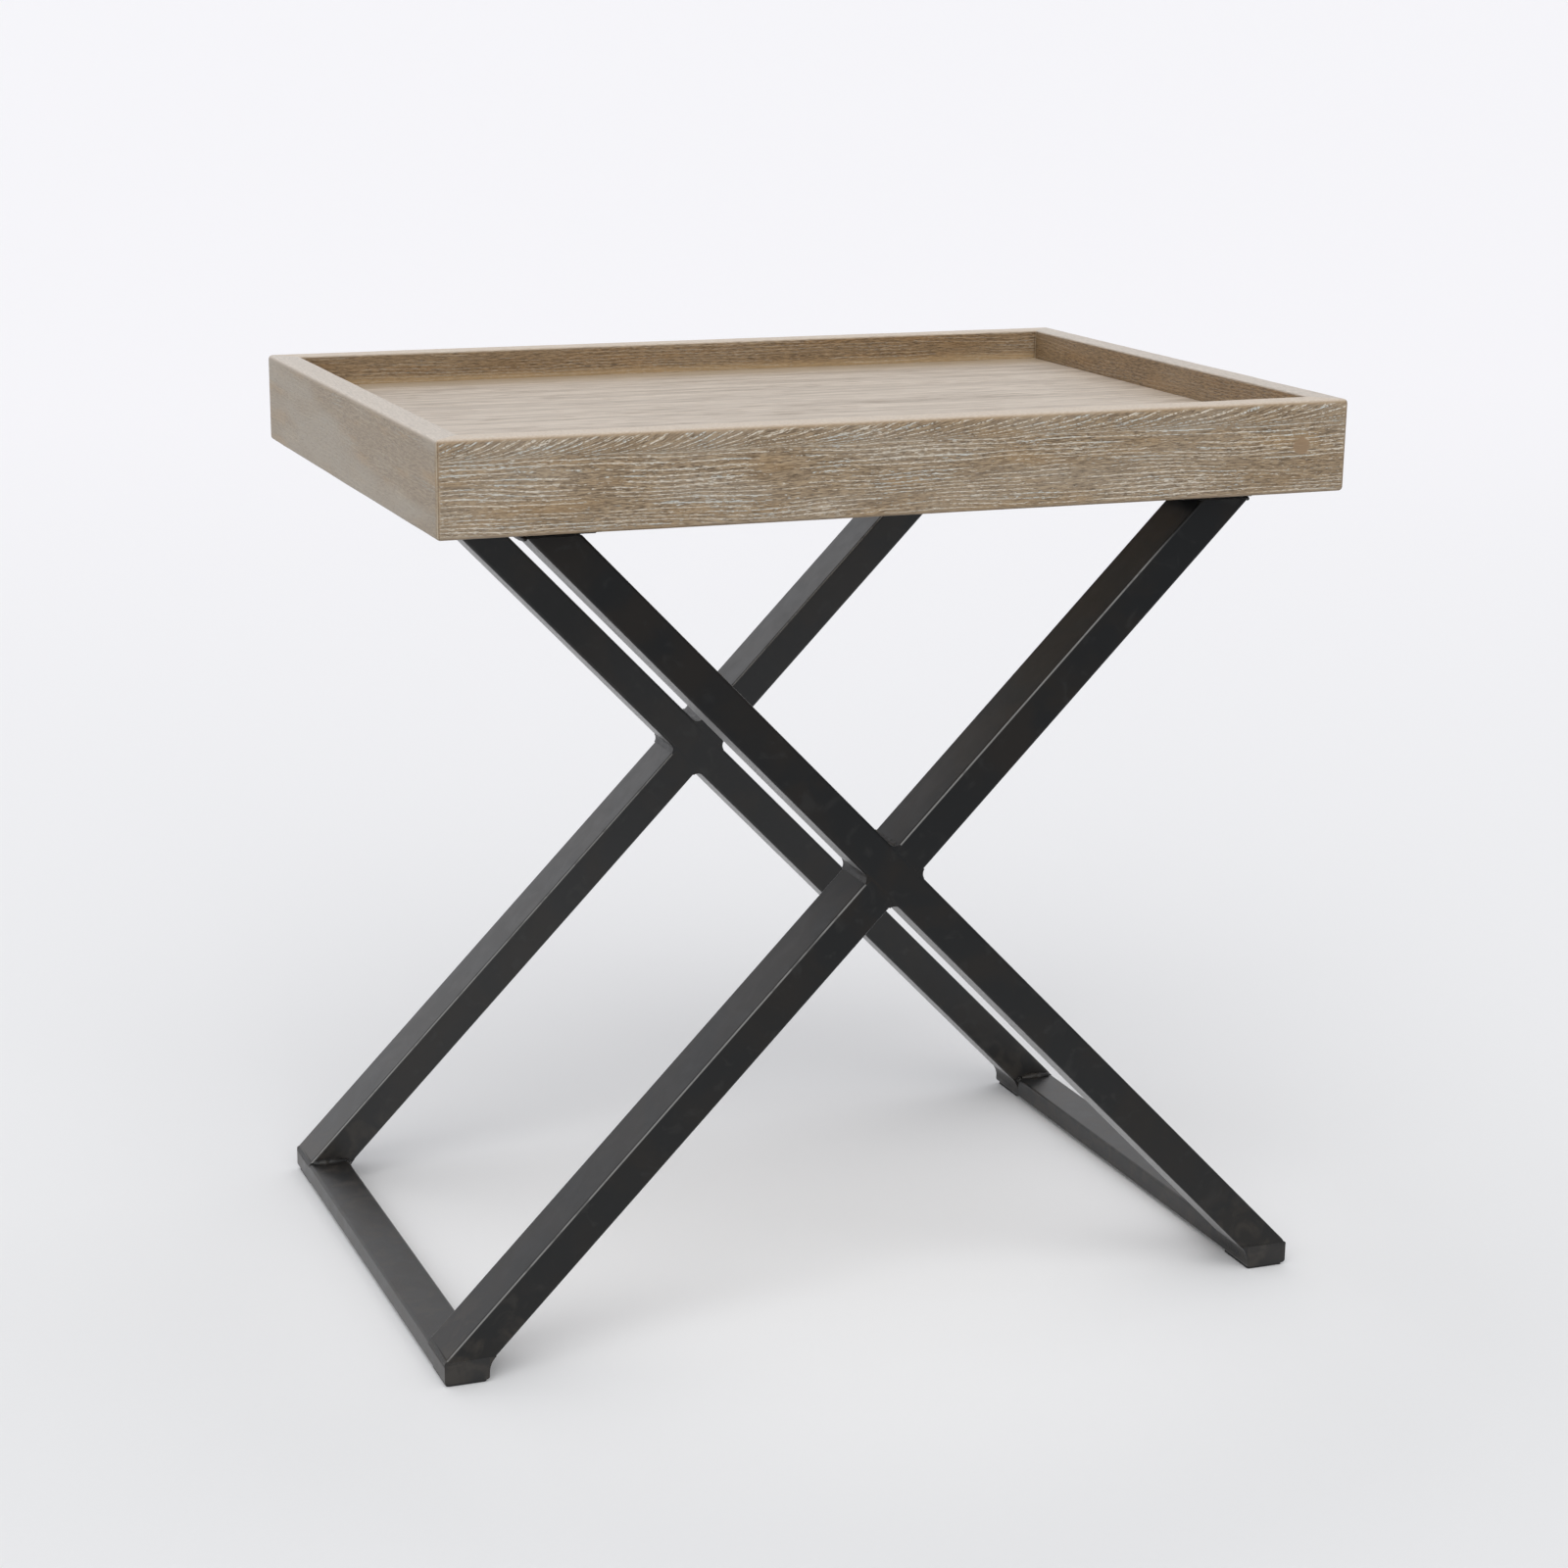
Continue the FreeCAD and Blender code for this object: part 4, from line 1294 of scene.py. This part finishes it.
@dataclass
class SmallParts:
    """The screws and the floor pads, whose nodes keep their shape."""

    def build(self) -> None:
        """Paints the nodes."""
        screws = BlackSteel("black_screws", 4.0, roughness=0.3).make()
        rubber = Plain("pad_rubber_skin", (0.030, 0.030, 0.031), 0.4, 1.5, 0.75, 0.05).make()
        pads = [f"floor_pad_{end.name.lower()}_{side.name.lower()}" for end in End for side in Side]
        for node, material in [("bar_screws", screws), *((pad, rubber) for pad in pads)]:
            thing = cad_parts[node]
            thing.data.materials.clear()
            thing.data.materials.append(material)
            log.info("%s: painted", node)


@dataclass
class Studio:
    """A pale floor that runs out of sight, soft light and the camera."""

    camera_spot: Vector = field(default_factory=lambda: Vector((-0.7961, -2.0114, 0.8754)))
    yaw: float = 0.3539
    pitch: float = 0.2797
    roll: float = 0.0065
    lens: float = 73.15
    shift: tuple[float, float] = (0.0490, 0.0602)
    floor_reach: float = 90.0
    near_paper: Colour = (0.835, 0.842, 0.850)
    far_lit_paper: Colour = (0.915, 0.910, 0.930)
    front_shade_paper: Colour = (0.66, 0.66, 0.66)
    shadow_fill_paper: Colour = (0.975, 0.980, 0.985)
    shadow_fill_spot: tuple[float, float] = (0.0, -110.0)
    far_fade: tuple[float, float] = (-700.0, 5000.0)
    front_fade: tuple[float, float] = (-750.0, -1700.0)
    shadow_fill_fade: tuple[float, float] = (460.0, 120.0)
    glow_fade: tuple[float, float] = (0.75, 0.97)
    dim_room: Colour = (0.20, 0.20, 0.20)
    bright_room: Colour = (0.88, 0.88, 0.90)
    back_glow: Colour = (1.08, 1.08, 1.11)
    glow_way: tuple[float, float, float] = (-0.25, 0.92, 0.30)
    backdrop: Colour = (0.93, 0.92, 0.95)
    room_turn: tuple[float, float, float] = (-0.10, 1.00, 0.45)
    sun_way: tuple[float, float, float] = (-0.24, -0.74, 0.62)
    sun_strength: float = 1.72
    sun_spread: float = math.radians(70)

    def build(self) -> None:
        """Sets up the studio."""
        self.floor()
        self.lights()
        self.camera()

    def floor(self) -> None:
        """A sheet of pale paper under and behind the table."""
        floor = Workpiece.start("paper_floor", bpy.ops.mesh.primitive_plane_add, size=2 * self.floor_reach)
        floor.thing.data.materials.append(self.paper())

    def paper(self) -> bpy.types.Material:
        """The floor's finish with painted light: brighter far away, paler round the table where its shadow
        falls, darker in front; open from below.

        Returns:
            The finished material.
        """
        g = Graph("floor_paper")
        x, y, z = g.place()
        speck = g.noise(x / 3, y / 3, z, 2.0)
        # painted light: the paper is painted brighter far away, blending the floor into the bright backdrop
        colour = g.blend((y + x * 0.25).ramp(*self.far_fade), self.near_paper, self.far_lit_paper)
        colour = g.tint(speck, colour, (0.985, 0.985, 0.985))
        # painted shade: the paper in front of the table, out of sight, is painted darker, to dim the light
        # and reflections it throws onto the table's front
        colour = g.tint(y.ramp(*self.front_fade), colour, self.front_shade_paper)
        # painted light: the paper is painted paler round the table, filling in its shadow
        centre_x, centre_y = self.shadow_fill_spot
        spread = (x - centre_x) * (x - centre_x) + (y - centre_y) * (y - centre_y)
        colour = g.blend(spread.sum_node("SQRT", spread).ramp(*self.shadow_fill_fade), colour, self.shadow_fill_paper)
        surface = g.node("ShaderNodeBsdfPrincipled", {}, {"Base Color": colour, "Roughness": 0.8,
                                                          "Specular IOR Level": 0.1})
        clear = g.node("ShaderNodeBsdfTransparent", {}, {})
        under = g.node("ShaderNodeNewGeometry", {}, {}, output=6)
        g.node_out(g.node("ShaderNodeMixShader", {}, {0: under, 1: surface, 2: clear}))
        return g.material

    def lights(self) -> None:
        """One very wide source above, to the front and left, and a pale room."""
        lamp = bpy.data.lights.new("soft_key", "SUN")
        lamp.energy = self.sun_strength
        lamp.angle = self.sun_spread
        holder = bpy.data.objects.new("soft_key", lamp)
        holder.location = Vector(self.sun_way) * 3
        holder.rotation_mode = "QUATERNION"
        holder.rotation_quaternion = (-Vector(self.sun_way)).to_track_quat("-Z", "Y")
        bpy.context.scene.collection.objects.link(holder)
        bpy.context.scene.world = self.room()
        bpy.context.scene.view_settings.view_transform = "Standard"

    def room(self) -> bpy.types.World:
        """A pale room, dim at its front, bright at its back and plain where the camera sees it.

        Returns:
            The room.
        """
        g = Graph("pale_room", bpy.data.worlds)
        way = g.node("ShaderNodeTexCoord", {}, {})
        lean = g.node("ShaderNodeVectorMath", {"operation": "DOT_PRODUCT"},
                      {0: way, 1: self.room_turn}, output=1)
        light = g.blend(lean.ramp(-0.9, 0.9), self.dim_room, self.bright_room)
        back = g.node("ShaderNodeVectorMath", {"operation": "DOT_PRODUCT"},
                      {0: way, 1: self.glow_way}, output=1)
        light = g.blend(back.ramp(*self.glow_fade), light, self.back_glow)
        seen = g.node("ShaderNodeLightPath", {}, {})
        g.node_out(g.node("ShaderNodeBackground", {}, {"Color": g.blend(seen, light, self.backdrop)}),
                   "ShaderNodeOutputWorld")
        return g.material

    def camera(self) -> None:
        """The camera, looking down at the table with a slight roll."""
        data = bpy.data.cameras.new("camera")
        data.lens = self.lens
        data.shift_x, data.shift_y = self.shift
        data.clip_start, data.clip_end = 0.05, 4 * self.floor_reach
        camera = bpy.data.objects.new("camera", data)
        turn = (Matrix.Rotation(-self.yaw, 4, "Z") @ Matrix.Rotation(math.pi / 2 - self.pitch, 4, "X")
                @ Matrix.Rotation(self.roll, 4, "Z"))
        camera.matrix_world = Matrix.Translation(self.camera_spot) @ turn
        bpy.context.scene.collection.objects.link(camera)
        bpy.context.scene.camera = camera


def main() -> None:
    """Builds the table and the studio."""
    logging.basicConfig(level=logging.INFO, format="%(name)s %(message)s")
    Studio().build()
    Tray().build()
    steel = BlackSteel("blackened_tube", 1.0, ior=1.46).make()
    welds = BlackSteel("blackened_weld", 2.0, roughness=0.36, bead=True).make()
    for end in End:
        CrossFrame(end).build()
    for side in Side:
        SideRun(side, steel, welds).build()
    SmallParts().build()


if __name__ == "__main__":
    main()
